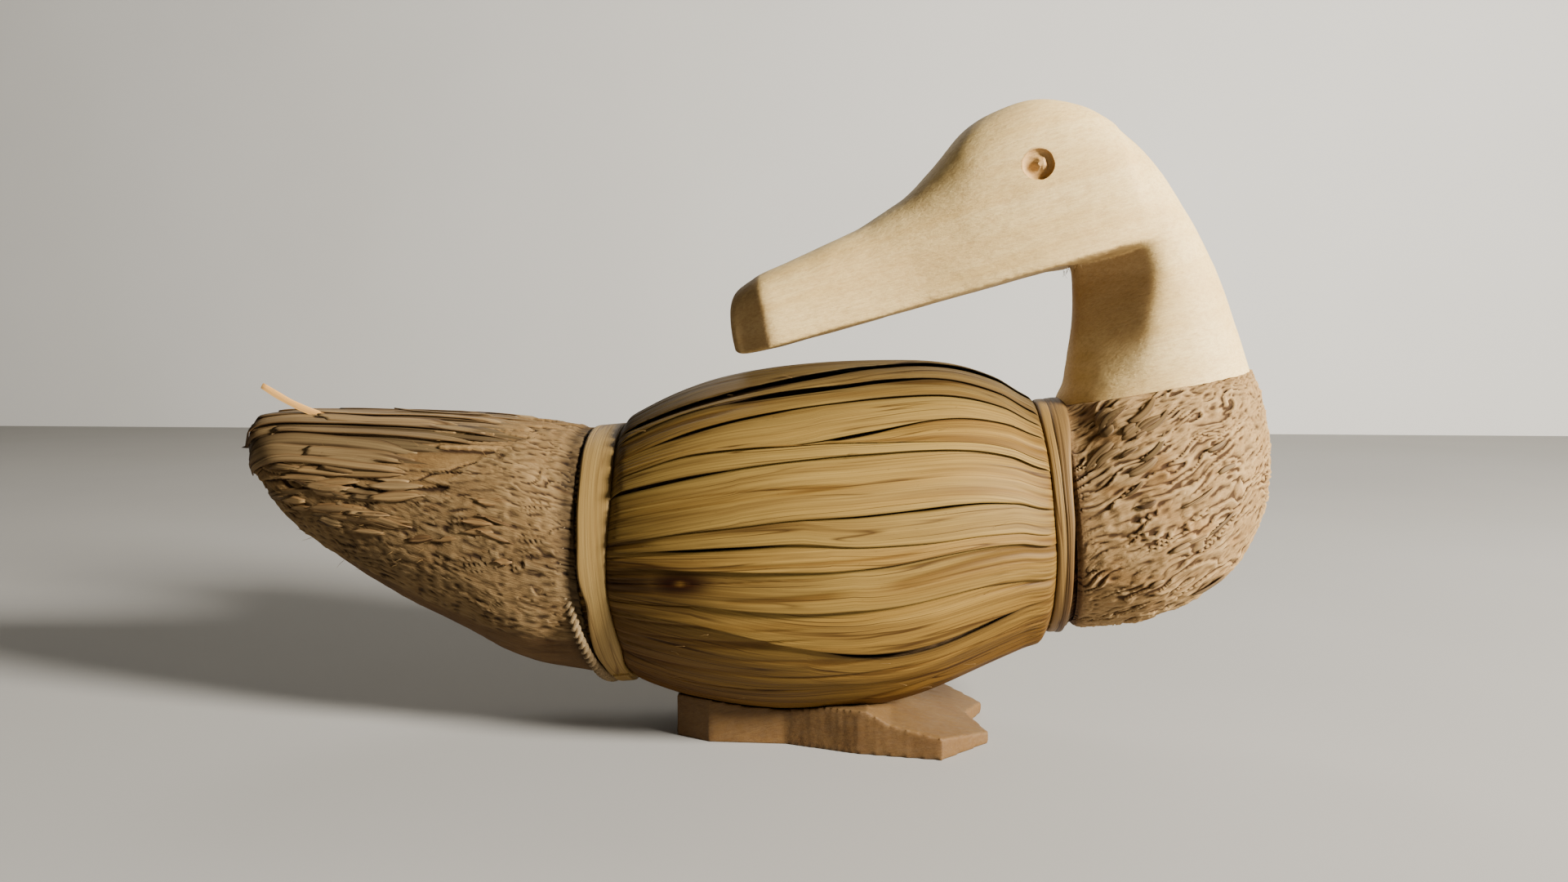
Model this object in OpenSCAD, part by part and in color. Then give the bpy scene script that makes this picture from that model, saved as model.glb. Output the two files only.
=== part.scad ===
// Straw duck with a carved wooden head turned back over the body.
// +X is forward, towards the breast. +Z is up. The origin is on the underside of the feet block,
// below the middle of the body's length.

/* [Body] */
// Distance between the two waists, along the body's axis
body_len = 137.5; // [134:0.5:142]
// Greatest diameter of the barrel, over the outer leaves
barrel_d = 108; // [104:1:109]
// Diameter of the stalks at the rear waist, under the band
rear_waist_d = 75; // [73:0.5:76]
// Diameter of the stalks at the front waist, under the band
front_waist_d = 65.6; // [64:0.2:66]
// Angle at which the body's axis rises towards the breast
body_tilt = 5.6; // [5:0.1:6]
// Place of the rear waist along the length
rear_waist_x = -40; // [-42:0.5:-38]
// Height of the rear waist's centre
rear_waist_z = 55.1; // [54.5:0.1:56]

/* [Leaves] */
// Number of leaves laid round the barrel
leaf_count = 28; // [24:1:28]
// Thickness of one leaf
leaf_t = 1; // [0.6:0.1:1]
// Number of leaves laid over the tail
tail_leaf_count = 9; // [5:1:9]

/* [Bands] */
// Width of the flat band round the rear waist
rear_band_w = 9; // [7:0.5:10]
// Width of each wrap of the band round the front waist
front_band_w = 4; // [3:0.5:4.5]
// Thickness of the bands
band_t = 0.9; // [0.6:0.1:1]
// Diameter of the binding cord that lies under the bands
cord_d = 1.8; // [1.2:0.1:1.8]

/* [Head] */
// Height of the jaw line over the body's axis, at the tip of the bill
bill_tip_z = 116.4; // [116:0.1:118]
// Angle at which the jaw line rises from the tip of the bill
jaw_angle = 15.7; // [15:0.1:16]
// Greatest width of the head
head_w = 43; // [38:1:46]
// Width of the bill
bill_w = 29; // [24:1:30]
// Diameter of the drilled eyes
eye_d = 9.2; // [7:0.1:10]
// Depth of the drilled eyes
eye_depth = 2.6; // [2:0.1:3]

/* [Feet] */
// Thickness of the feet block at the heel
heel_t = 13; // [12:0.5:14]
// Thickness of the webs at their front edge
toe_t = 3.2; // [3:0.1:4]
// Width of the block across the two webs
web_w = 64; // [58:1:68]

/* [Dowel] */
// Diameter of the dowel that holds the neck
neck_dowel_d = 10; // [8:0.5:12]
// Length of the dowel that holds the neck
neck_dowel_len = 54; // [48:1:56]

/* [Hidden] */
$fn = 96;
gap = 0.2;                      // glue gap between neighbouring pieces
rear_stub = 7;                  // how far the leaves reach past the middle of the rear waist
front_stub = 4.6;               // how far the leaves reach past the middle of the front waist
leaf_steps = 14;                // stations along one barrel leaf
leaf_slit = 0.5;                // angle left open between neighbouring leaves
skin_gap = 0.8;                 // room between the leaves and the stalks under them
seat_x = 99.2;                  // rear edge of the seat under the neck
seat_z = 102.1;
seat_angle = 11;                // the seat rises towards the front
big = 400;
saddle_clear = 0.4;             // room between the leaves and the hollow in the feet block
bill_tip_x = -3.5;

front_waist_z = rear_waist_z + body_len * sin(body_tilt);
lean_reach = 40;                // how far from a waist its tilt still shows in the straw
rear_r = rear_waist_d / 2;
front_r = front_waist_d / 2;
bulge = barrel_d / 2 - (rear_r + front_r) / 2;

function pad(i) = i < 10 ? str("0", i) : str(i);

leaf_names = [for (i = [1:leaf_count]) str("barrel_leaf_", pad(i))];
tail_leaf_names = [for (i = [1:tail_leaf_count]) str("tail_leaf_", pad(i))];

// ---------- shapes that repeat ----------

// A closed skin over rings of points. Every ring has the same number of points.
module skin(rings) {
    n = len(rings[0]);
    last = len(rings) - 1;
    points = [for (ring = rings) for (p = ring) p];
    sides = [for (r = [0:last - 1]) for (i = [0:n - 1])
        for (f = [[r * n + i, (r + 1) * n + i, (r + 1) * n + (i + 1) % n],
                  [r * n + i, (r + 1) * n + (i + 1) % n, r * n + (i + 1) % n]]) f];
    caps = [[for (i = [0:n - 1]) i], [for (i = [n - 1:-1:0]) last * n + i]];
    polyhedron(points = points, faces = concat(sides, caps), convexity = 6);
}

function spow(v, e) = sign(v) * pow(abs(v), e);

// A point of a superellipse: half-width a, half-height b, squareness n, at angle t
function oval(a, b, n, t) = [a * spow(cos(t), 2 / n), b * spow(sin(t), 2 / n)];

// Moves pieces from the body's axis, which starts at the rear waist, into the duck's frame
module on_body() {
    translate([rear_waist_x, 0, rear_waist_z]) rotate([0, -body_tilt, 0]) children();
}

// The outer radius of the barrel's leaves at u along the body's axis
function barrel_r(u) =
    let (s = min(max(u / body_len, 0), 1))
    rear_r + (front_r - rear_r) * s + bulge * pow(max(1 - pow(2 * s - 1, 2), 0), 0.85);

// Stations from one end to the other, closer together near both ends
function eased(from, to, k, steps) = from + (to - from) * (1 - cos(180 * k / steps)) / 2;

// The barrel as a solid of revolution along the body's axis, grown by extra
module barrel(extra, from, to, steps = 20) {
    rotate([0, 90, 0]) rotate_extrude()
        polygon(concat(
            [[0, from]],
            [for (k = [0:steps]) let (u = eased(from, to, k, steps)) [barrel_r(u) + extra, u]],
            [[0, to]]));
}

// A ring round the body's axis at u, of inner radius r, width w and thickness t
module hoop(u, r, w, t, turn = 360) {
    translate([u - w / 2, 0, 0]) rotate([0, 90, 0])
        rotate_extrude(angle = turn) translate([r, 0]) square([t, w]);
}

// Everything above the neck's seat, or below it
module beyond_seat(below, lift = 0) {
    translate([seat_x, 0, seat_z]) rotate([0, -seat_angle, 0])
        translate([-big / 2, -big / 2, below ? lift - big : lift]) cube(big);
}

// ---------- straw body ----------

// Stuffing of stalks that gives the barrel its shape
module core_bundle() {
    color("tan") on_body() barrel(-leaf_t - skin_gap, gap, body_len - gap);
}

// Edge of leaf i, as an angle round the barrel. Leaves differ in width.
function leaf_edge(i) =
    (i + 0.24 * sin(i * 11 * 360 / leaf_count) + 0.14 * sin(i * 5 * 360 / leaf_count))
    * 360 / leaf_count;

// One leaf of the outer layer: a thin strip from waist to waist, with a short stub past each band
module barrel_leaf(i) {
    from = leaf_edge(i - 1) + leaf_slit / 2;
    to = leaf_edge(i) - leaf_slit / 2;
    rings = [for (k = [0:leaf_steps])
        let (u = eased(-rear_stub, body_len + front_stub, k, leaf_steps),
             outer = barrel_r(u), inner = outer - leaf_t)
        [for (p = [[outer, to], [outer, from], [inner, from], [inner, to]])
            [u, p[0] * sin(p[1]), p[0] * cos(p[1])]]];
    color("burlywood") on_body() skin(rings);
}

// Stations of the tail: [x, top, bottom, half-width]
tail_front = -47.5;
tail_stations = [
    [-157.5, 94.5, 82, 9],
    [-155.5, 97, 78, 14.5],
    [-150, 99, 71.5, 21],
    [-139, 99.4, 60.5, 26.5],
    [-112, 99, 43, 33],
    [-85, 98, 30, 37.5],
    [-68, 97, 21.5, 39.3],
    [tail_front, 95.4, 15.6, 39.6]];
tail_square = 2.5;
tail_leaf_span = 150;           // angle of the tail's section that its leaves cover

// How far a point of the straw near a waist is moved back, so that cut faces follow the bands
function band_lean(x, z, waist_x, waist_z) =
    tan(body_tilt) * (z - waist_z) * max(0, 1 - abs(x - waist_x) / lean_reach);

// A point on the tail's skin at one station and angle t, pushed out by extra
function tail_point(s, t, extra = 0) =
    let (p = oval(s[3] + extra, (s[1] - s[2]) / 2 + extra, tail_square, t),
         z = (s[1] + s[2]) / 2 + p[1])
    [s[0] - band_lean(s[0], z, tail_front, rear_waist_z), p[0], z];

// The trimmed stalks behind the rear band
module tail_bundle() {
    color("peru") {
        skin([for (s = tail_stations) [for (t = [0:15:345]) tail_point(s, t, -leaf_t - gap)]]);
        on_body() barrel(-leaf_t - skin_gap, -rear_stub - 2, -gap, 4);
    }
}

// One flat leaf laid lengthwise on the tail's upper side
module tail_leaf(i) {
    spread = tail_leaf_span / tail_leaf_count;
    half = spread / 2 - 1;
    mid = 90 - tail_leaf_span / 2 + (i - 0.5) * spread;
    rings = [for (s = tail_stations)
        [for (p = [[-half, 0], [half, 0], [half, -leaf_t], [-half, -leaf_t]])
            tail_point(s, mid + p[0], p[1])]];
    color("wheat") skin(rings);
}

// Stations of the breast: [x, bottom, top, half-width, squareness]
breast_back = 102;
breast_stations = [
    [breast_back, 34, 105, 35.5, 2.05],
    [112, 35.4, 110.5, 37, 2.3],
    [122, 38, 112.5, 37.2, 2.4],
    [134, 42.6, 114.5, 34.5, 2.4],
    [144, 48.5, 115.5, 29.5, 2.3],
    [149.5, 53.5, 115.5, 24.5, 2.2],
    [153.4, 58.5, 113.6, 19.5, 2.1],
    [156.4, 65.5, 105, 14, 2.05],
    [158, 71.5, 98.5, 9, 2],
    [158.6, 77, 92.5, 5, 2]];

function breast_point(s, t) =
    let (p = oval(s[3], (s[2] - s[1]) / 2, s[4], t), z = (s[1] + s[2]) / 2 + p[1])
    [s[0] - band_lean(s[0], z, breast_back, front_waist_z), p[0], z];

// The trimmed stalks in front of the front band, cut flat where the neck sits
module breast_bundle() {
    color("peru") difference() {
        union() {
            skin([for (s = breast_stations) [for (t = [0:15:345]) breast_point(s, t)]]);
            on_body() barrel(-leaf_t - skin_gap, body_len + gap, body_len + front_stub + 3, 4);
        }
        beyond_seat(false, -gap);
        neck_axis() cylinder(d = neck_dowel_d + gap, h = neck_dowel_len + 1, center = true);
    }
}

// A stray split stalk that stands off the tail
module loose_splinter() {
    color("sandybrown") translate([-134, -10, 99]) rotate([0, 24, -3])
        translate([-24, -1.2, 0]) cube([24, 2.4, 0.8]);
}

// ---------- bindings ----------

// Turns of cord laid side by side round the waist at u, pressed a little into each other
module binding_cord(u, r) {
    pitch = cord_d * 0.97;
    color("darkkhaki") on_body() for (turn = [-1.5:1:1.5])
        translate([u + turn * pitch, 0, 0]) rotate([0, 90, 0])
            rotate_extrude() translate([r + cord_d / 2 + gap, 0]) circle(d = cord_d, $fn = 24);
}

module rear_binding_cord() { binding_cord(0, rear_r); }

module front_binding_cord() { binding_cord(body_len, front_r); }

rear_band_r = rear_r + cord_d + 2 * gap;
front_band_r = front_r + cord_d + 2 * gap;

module rear_band() {
    color("khaki") on_body() hoop(0, rear_band_r, rear_band_w, band_t);
}

// The end of the rear band, turned over the band under the belly
module rear_band_tuck() {
    color("khaki") on_body() rotate([-10, 0, 0])
        hoop(0.5, rear_band_r + band_t + gap / 2, rear_band_w - 2, band_t, 26);
}

module front_band_back_wrap() {
    color("tan") on_body()
        hoop(body_len - front_band_w / 2 - gap / 2, front_band_r, front_band_w, band_t);
}

module front_band_front_wrap() {
    color("tan") on_body()
        hoop(body_len + front_band_w / 2 + gap / 2, front_band_r, front_band_w, band_t);
}

// ---------- head and neck ----------

// Stations of the head along the jaw line: [distance from the tip, lift of the lower edge,
// height, share of the bill's half-width]
head_stations = [
    [1.4, 2.4, 13, 0.48],
    [2.4, 1.2, 17, 0.6],
    [5, 0.4, 20.4, 0.73],
    [10.5, 0, 22.6, 0.985],
    [14, 0, 23.2, 1],
    [24, 0, 24.4, 1],
    [36, 0, 26.2, 1],
    [48, 0, 28.2, 1.02],
    [58, 0, 31, 1.06],
    [66, 0, 34.2, 1.12],
    [75, 0, 39.8, 1.22],
    [86, 0, 47.2, 1.34],
    [98, 0, 50.4, 1.43],
    [110, 0, 50, 1.46],
    [121, 0, 44.6, 1.44],
    [129, 0, 37, 1.36]];
head_square = 2.8;
jaw_side = 0.16;                // share of the height at which the side is fullest
full_share = 1.46;              // share of the bill's half-width that gives the greatest width

function head_half(share) =
    share <= 1 ? bill_w / 2 * share
               : bill_w / 2 + (head_w - bill_w) / 2 * (share - 1) / (full_share - 1);

// A ring of the head: full and rounded above, flat along the jaw. Rings lean forward near the tip.
function head_ring(s) =
    let (a = head_half(s[3]), low = (s[2] - s[1]) * jaw_side, up = s[2] - s[1] - low,
         lean = 0.1 * max(0, 1 - s[0] / 40))
    [for (p = concat(
        [for (t = [0:15:180]) let (p = oval(a, up, head_square, t)) [p[0], low + p[1]]],
        [for (q = [[-0.985, 0.45], [-0.9, 0.08], [-0.75, 0], [0.75, 0], [0.9, 0.08], [0.985, 0.45]])
            [q[0] * a, low * q[1]]]))
        [s[0] + lean * p[1], p[0], s[1] + p[1]]];

// Stations of the neck: [height, rear edge, front edge, half-width]
neck_stations = [
    [96, 93.5, 156, 21],
    [104, 96, 155, 21.5],
    [109, 98.2, 154.2, 21.5],
    [114, 99, 152.9, 21],
    [126, 100.5, 148.8, 20],
    [136, 100.5, 145.2, 19.5],
    [146, 99.5, 140.8, 19.5],
    [154, 97, 136.8, 19.6],
    [162, 93, 132, 19.4],
    [170, 90, 126.8, 18.4],
    [178, 88, 120.6, 16.4],
    [185, 86, 113, 13.2],
    [190, 85, 106, 9.5]];
neck_square = 2.2;

function neck_ring(s) =
    [for (t = [0:15:345])
        let (p = oval((s[2] - s[1]) / 2, s[3], neck_square, t)) [(s[1] + s[2]) / 2 + p[0], p[1], s[0]]];

// The axis of the neck's dowel, square to the seat, with its middle on the seat
module neck_axis() {
    translate([seat_x, 0, seat_z]) rotate([0, -seat_angle, 0]) translate([28, 0, 0]) children();
}

// A drilled eye: a round recess with a pip of wood left in the middle
module eye(side) {
    reach = 20.6;
    translate([87.2, side * reach, 172.8]) rotate([-side * 90, 0, 0]) difference() {
        translate([0, 0, -eye_depth]) cylinder(d = eye_d, h = eye_depth + 6);
        translate([0, 0, -eye_depth - 0.1]) cylinder(d1 = 4.6, d2 = 2.6, h = eye_depth - 0.5);
    }
}

module head_and_neck() {
    color("navajowhite") difference() {
        union() {
            translate([bill_tip_x, 0, bill_tip_z]) rotate([0, -jaw_angle, 0])
                skin([for (s = head_stations) head_ring(s)]);
            skin([for (s = neck_stations) neck_ring(s)]);
        }
        beyond_seat(true);
        neck_axis() cylinder(d = neck_dowel_d + gap, h = neck_dowel_len + 1, center = true);
        eye(1);
        eye(-1);
    }
}

module neck_dowel() {
    color("wheat") neck_axis() cylinder(d = neck_dowel_d, h = neck_dowel_len, center = true);
}

// ---------- feet ----------

heel_w = 43;
heel_back = -20;
web_start = 39;                 // where the top starts to fall towards the webs
web_break = 46;                 // where the fall becomes gentle
web_break_t = 9.5;
toe_x = 76;

// Outline of the block: a narrow heel that spreads into two webs with a notch between them
feet_half = [[heel_back, 0], [heel_back, 16], [-9, heel_w / 2], [14, heel_w / 2],
             [36, web_w / 2 - 3.5], [61, web_w / 2], [toe_x, 15], [70, 0]];
feet_outline = concat(feet_half, [for (i = [len(feet_half) - 2:-1:1]) [feet_half[i][0], -feet_half[i][1]]]);

module feet_block() {
    color("burlywood") difference() {
        linear_extrude(heel_t) polygon([for (i = [len(feet_outline) - 1:-1:0]) feet_outline[i]]);
        rotate([90, 0, 0]) translate([0, 0, -web_w]) linear_extrude(2 * web_w)
            polygon([[web_start, heel_t], [web_break, web_break_t], [toe_x + 1, toe_t],
                     [toe_x + 1, heel_t + 1], [web_start, heel_t + 1]]);
        on_body() barrel(saddle_clear, 0, body_len);
    }
}

// ---------- assembly ----------

core_bundle();
tail_bundle();
breast_bundle();
rear_binding_cord();
front_binding_cord();
rear_band();
rear_band_tuck();
front_band_back_wrap();
front_band_front_wrap();
head_and_neck();
neck_dowel();
feet_block();
loose_splinter();
for (i = [1:leaf_count]) barrel_leaf(i);
for (i = [1:tail_leaf_count]) tail_leaf(i);
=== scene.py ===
"""Straw duck with a carved wooden head turned back over its body."""

import math

import bmesh
import bpy
import numpy as np
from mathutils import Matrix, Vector


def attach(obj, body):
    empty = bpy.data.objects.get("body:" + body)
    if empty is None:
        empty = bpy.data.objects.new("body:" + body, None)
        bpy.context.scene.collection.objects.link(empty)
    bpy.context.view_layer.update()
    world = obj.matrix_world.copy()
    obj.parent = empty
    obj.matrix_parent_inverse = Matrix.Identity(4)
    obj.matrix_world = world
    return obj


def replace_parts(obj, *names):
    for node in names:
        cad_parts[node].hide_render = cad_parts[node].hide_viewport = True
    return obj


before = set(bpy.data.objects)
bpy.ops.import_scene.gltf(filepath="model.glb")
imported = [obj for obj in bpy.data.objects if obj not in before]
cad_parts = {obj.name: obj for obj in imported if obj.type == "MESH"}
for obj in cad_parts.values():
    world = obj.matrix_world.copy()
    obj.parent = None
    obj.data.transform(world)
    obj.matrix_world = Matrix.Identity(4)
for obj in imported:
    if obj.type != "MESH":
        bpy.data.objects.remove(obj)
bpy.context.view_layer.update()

MM = 0.001
BODY = "root"

# The body's axis and its outer profile, in millimetres, as the CAD model has them.
REAR_WAIST = (-40.0, 55.1)              # x, z
BODY_LEN = 137.5
BODY_TILT = math.radians(5.6)
REAR_R, FRONT_R, BARREL_R = 37.5, 32.8, 54.0
BULGE = BARREL_R - (REAR_R + FRONT_R) / 2
BILL_TIP = (-3.5, 116.4)                # x, z
JAW_ANGLE = math.radians(15.7)
SEAT = (99.2, 102.1)                    # x, z of the seat's rear edge
SEAT_ANGLE = math.radians(11)


# ---------------------------------------------------------------- numbers and noise

def lattice(ix, iy, iz, seed):
    """A repeatable number from 0 to 1 for each point of a grid."""
    h = (ix * 374761393 + iy * 668265263 + iz * 1274126177 + seed * 144665) & 0xFFFFFFFF
    h = ((h ^ (h >> 13)) * 1274126177) & 0xFFFFFFFF
    return ((h ^ (h >> 16)) & 0xFFFF) / 65535.0


def noise(points, scale, seed=0):
    """Smooth noise from -1 to 1. scale is the size of its lumps, one number or three."""
    q = np.asarray(points, float) / np.asarray(scale, float)
    cell = np.floor(q).astype(np.int64)
    f = q - cell
    f = f * f * (3 - 2 * f)
    total = np.zeros(q.shape[:-1])
    for dx in (0, 1):
        for dy in (0, 1):
            for dz in (0, 1):
                weight = ((f[..., 0] if dx else 1 - f[..., 0])
                          * (f[..., 1] if dy else 1 - f[..., 1])
                          * (f[..., 2] if dz else 1 - f[..., 2]))
                total += weight * lattice(cell[..., 0] + dx, cell[..., 1] + dy, cell[..., 2] + dz, seed)
    return 2 * total - 1


def smoothstep(low, high, v):
    t = np.clip((np.asarray(v, float) - low) / (high - low), 0, 1)
    return t * t * (3 - 2 * t)


def spline(rows, count):
    """count rows along a smooth curve through the given rows."""
    rows = np.asarray(rows, float)
    padded = np.vstack([2 * rows[0] - rows[1], rows, 2 * rows[-1] - rows[-2]])
    t = np.linspace(0, len(rows) - 1, count)
    i = np.minimum(t.astype(int), len(rows) - 2)
    f = (t - i)[:, None]
    a, b, c, d = padded[i], padded[i + 1], padded[i + 2], padded[i + 3]
    return 0.5 * (2 * b + (c - a) * f + (2 * a - 5 * b + 4 * c - d) * f ** 2
                  + (3 * b - a - 3 * c + d) * f ** 3)


def oval(half_w, half_h, square, angle):
    """A point of a superellipse."""
    c, s = np.cos(angle), np.sin(angle)
    return (half_w * np.sign(c) * np.abs(c) ** (2 / square),
            half_h * np.sign(s) * np.abs(s) ** (2 / square))


def leaned(points, lean):
    """Places turned so that the first number runs along the lean."""
    c, s = math.cos(lean), math.sin(lean)
    return np.stack([points[..., 0] * c + points[..., 2] * s, points[..., 1],
                     points[..., 2] * c - points[..., 0] * s], -1)


def shaded(tint, mask, loss):
    """Takes a share of each colour away, as far as the mask says."""
    return tint * (1 - np.asarray(mask)[..., None] * np.array(loss))


def flaps(points, size, seed, warp):
    """Long leaves laid like scales. Gives, for each point, the height of its leaf, how near it is to
    the leaf's edge, and the leaf's own random numbers."""
    size = np.asarray(size, float)
    bent = points / size
    bent = bent + warp * np.stack([noise(points, size * 1.3, seed + k) for k in (1, 2, 3)], -1)
    cell = np.floor(bent).astype(np.int64)
    best = np.full(points.shape[:-1], 9.0)
    second = best.copy()
    offset = np.zeros(points.shape)
    chance = np.zeros(points.shape)
    for dx in (-1, 0, 1):
        for dy in (-1, 0, 1):
            for dz in (-1, 0, 1):
                ix, iy, iz = cell[..., 0] + dx, cell[..., 1] + dy, cell[..., 2] + dz
                own = np.stack([lattice(ix, iy, iz, seed + k) for k in (11, 12, 13)], -1)
                away = bent - (np.stack([ix, iy, iz], -1) + own)
                far = np.sqrt((away ** 2).sum(-1))
                nearer = far < best
                second = np.where(nearer, best, np.minimum(second, far))
                best = np.where(nearer, far, best)
                offset = np.where(nearer[..., None], away, offset)
                chance = np.where(nearer[..., None], own, chance)
    height = (chance[..., 1] - 0.5) - offset[..., 2] * (0.5 + 0.9 * chance[..., 0])
    return height, second - best, chance


# ---------------------------------------------------------------- meshes

def link_object(name, data):
    made = bpy.data.objects.new(name, data)
    bpy.context.scene.collection.objects.link(made)
    return made


def new_piece(name, points, faces, material, smooth=True):
    """A mesh object from points in millimetres."""
    mesh = bpy.data.meshes.new(name)
    mesh.from_pydata((np.asarray(points, float) * MM).tolist(), [], faces)
    mesh.validate()
    mesh.polygons.foreach_set("use_smooth", [smooth] * len(mesh.polygons))
    mesh.materials.append(material)
    piece = link_object(name, mesh)
    return piece


def grid_faces(rows, cols, wrap=False, start=0, flip=False):
    """Quads over a grid of points. wrap joins the last column to the first."""
    r, c = np.meshgrid(np.arange(rows - 1), np.arange(cols if wrap else cols - 1), indexing="ij")
    r, c = r.ravel(), c.ravel()
    d = (c + 1) % cols
    quads = np.stack([r * cols + c, (r + 1) * cols + c, (r + 1) * cols + d, r * cols + d], 1) + start
    if flip:
        quads = quads[:, ::-1]
    return quads.tolist()


def capped_tube_faces(rows, cols):
    """Faces of rings joined into a closed skin."""
    faces = grid_faces(rows, cols, wrap=True)
    faces.append(list(range(cols)))
    faces.append([(rows - 1) * cols + i for i in range(cols - 1, -1, -1)])
    return faces


def shell(outer, inner):
    """Points and faces of a thin closed strip between two grids of the same size."""
    rows, cols = outer.shape[:2]
    n = rows * cols
    faces = grid_faces(rows, cols, flip=True) + grid_faces(rows, cols, start=n)
    rim = ([(0, c) for c in range(cols)] + [(r, cols - 1) for r in range(1, rows)]
           + [(rows - 1, c) for c in range(cols - 2, -1, -1)] + [(r, 0) for r in range(rows - 2, 0, -1)])
    index = [r * cols + c for r, c in rim]
    for a, b in zip(index, index[1:] + index[:1]):
        faces.append([b, a, a + n, b + n])
    return np.concatenate([outer.reshape(-1, 3), inner.reshape(-1, 3)]), faces


def merge(parts):
    """Joins (points, faces, per-point values) triples into one."""
    points, faces, values, start = [], [], [], 0
    for p, f, v in parts:
        points.append(p)
        faces += [[i + start for i in face] for face in f]
        values.append(v)
        start += len(p)
    return np.concatenate(points), faces, np.concatenate(values)


def paint(piece, name, values):
    """Stores one value or colour per point for the materials to read."""
    values = np.asarray(values, float)
    if values.ndim == 1:
        values = np.repeat(values[:, None], 3, 1)
    layer = piece.data.color_attributes.new(name=name, type="FLOAT_COLOR", domain="POINT")
    layer.data.foreach_set("color", np.hstack([values, np.ones((len(values), 1))]).astype(np.float32).ravel())


def lay_uv(piece, uv):
    """Stores a place along and across each strip, in centimetres, for its veins."""
    mesh = piece.data
    loops = np.zeros(len(mesh.loops), np.int32)
    mesh.loops.foreach_get("vertex_index", loops)
    layer = mesh.uv_layers.new(name="along")
    layer.data.foreach_set("uv", np.asarray(uv, np.float32)[loops].ravel())


def outward_normals(points, middle, wrap):
    """Unit normals of a grid of points, from its own slopes, facing away from the middle."""
    du = np.gradient(points, axis=0)
    dv = (np.roll(points, -1, 1) - np.roll(points, 1, 1)) / 2 if wrap else np.gradient(points, axis=1)
    n = np.cross(du, dv)
    n = n / np.maximum(np.linalg.norm(n, axis=-1, keepdims=True), 1e-9)
    return n * np.sign((n * (points - middle)).sum(-1, keepdims=True))


def centre_line(points, z):
    """For each point, the place on the plane of symmetry at its own x and at height z."""
    x = points[..., 0]
    return np.stack([x, 0 * x, 0 * x + z], -1)


def face_outward(piece):
    mesh = bmesh.new()
    mesh.from_mesh(piece.data)
    bmesh.ops.recalc_face_normals(mesh, faces=mesh.faces)
    mesh.to_mesh(piece.data)
    mesh.free()


def mesh_points(piece):
    co = np.zeros(len(piece.data.vertices) * 3, np.float32)
    piece.data.vertices.foreach_get("co", co)
    return co.reshape(-1, 3).astype(float) / MM


def mesh_normals(piece):
    n = np.zeros(len(piece.data.vertices) * 3, np.float32)
    piece.data.vertex_normals.foreach_get("vector", n)
    return n.reshape(-1, 3).astype(float)


def set_mesh_points(piece, points):
    piece.data.vertices.foreach_set("co", (points * MM).astype(np.float32).ravel())
    piece.data.update()


def apply_modifiers(piece):
    """Bakes a piece's modifiers into its mesh."""
    depsgraph = bpy.context.evaluated_depsgraph_get()
    baked = bpy.data.meshes.new_from_object(piece.evaluated_get(depsgraph))
    piece.modifiers.clear()
    piece.data = baked


def remesh(piece, voxel):
    """Turns a piece into one even skin of small faces."""
    modifier = piece.modifiers.new("even", "REMESH")
    modifier.mode = "VOXEL"
    modifier.voxel_size = voxel * MM
    modifier.use_smooth_shade = True
    apply_modifiers(piece)


def soften(piece, weights, rounds):
    """Moves each point towards its neighbours, as far as its weight says."""
    edges = np.zeros(len(piece.data.edges) * 2, np.int32)
    piece.data.edges.foreach_get("vertices", edges)
    edges = edges.reshape(-1, 2)
    points = mesh_points(piece)
    count = np.bincount(edges.ravel(), minlength=len(points))[:, None]
    for _ in range(rounds):
        total = np.zeros_like(points)
        np.add.at(total, edges[:, 0], points[edges[:, 1]])
        np.add.at(total, edges[:, 1], points[edges[:, 0]])
        points += (total / np.maximum(count, 1) - points) * (weights * 0.5)[:, None]
    set_mesh_points(piece, points)


# ---------------------------------------------------------------- materials

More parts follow.
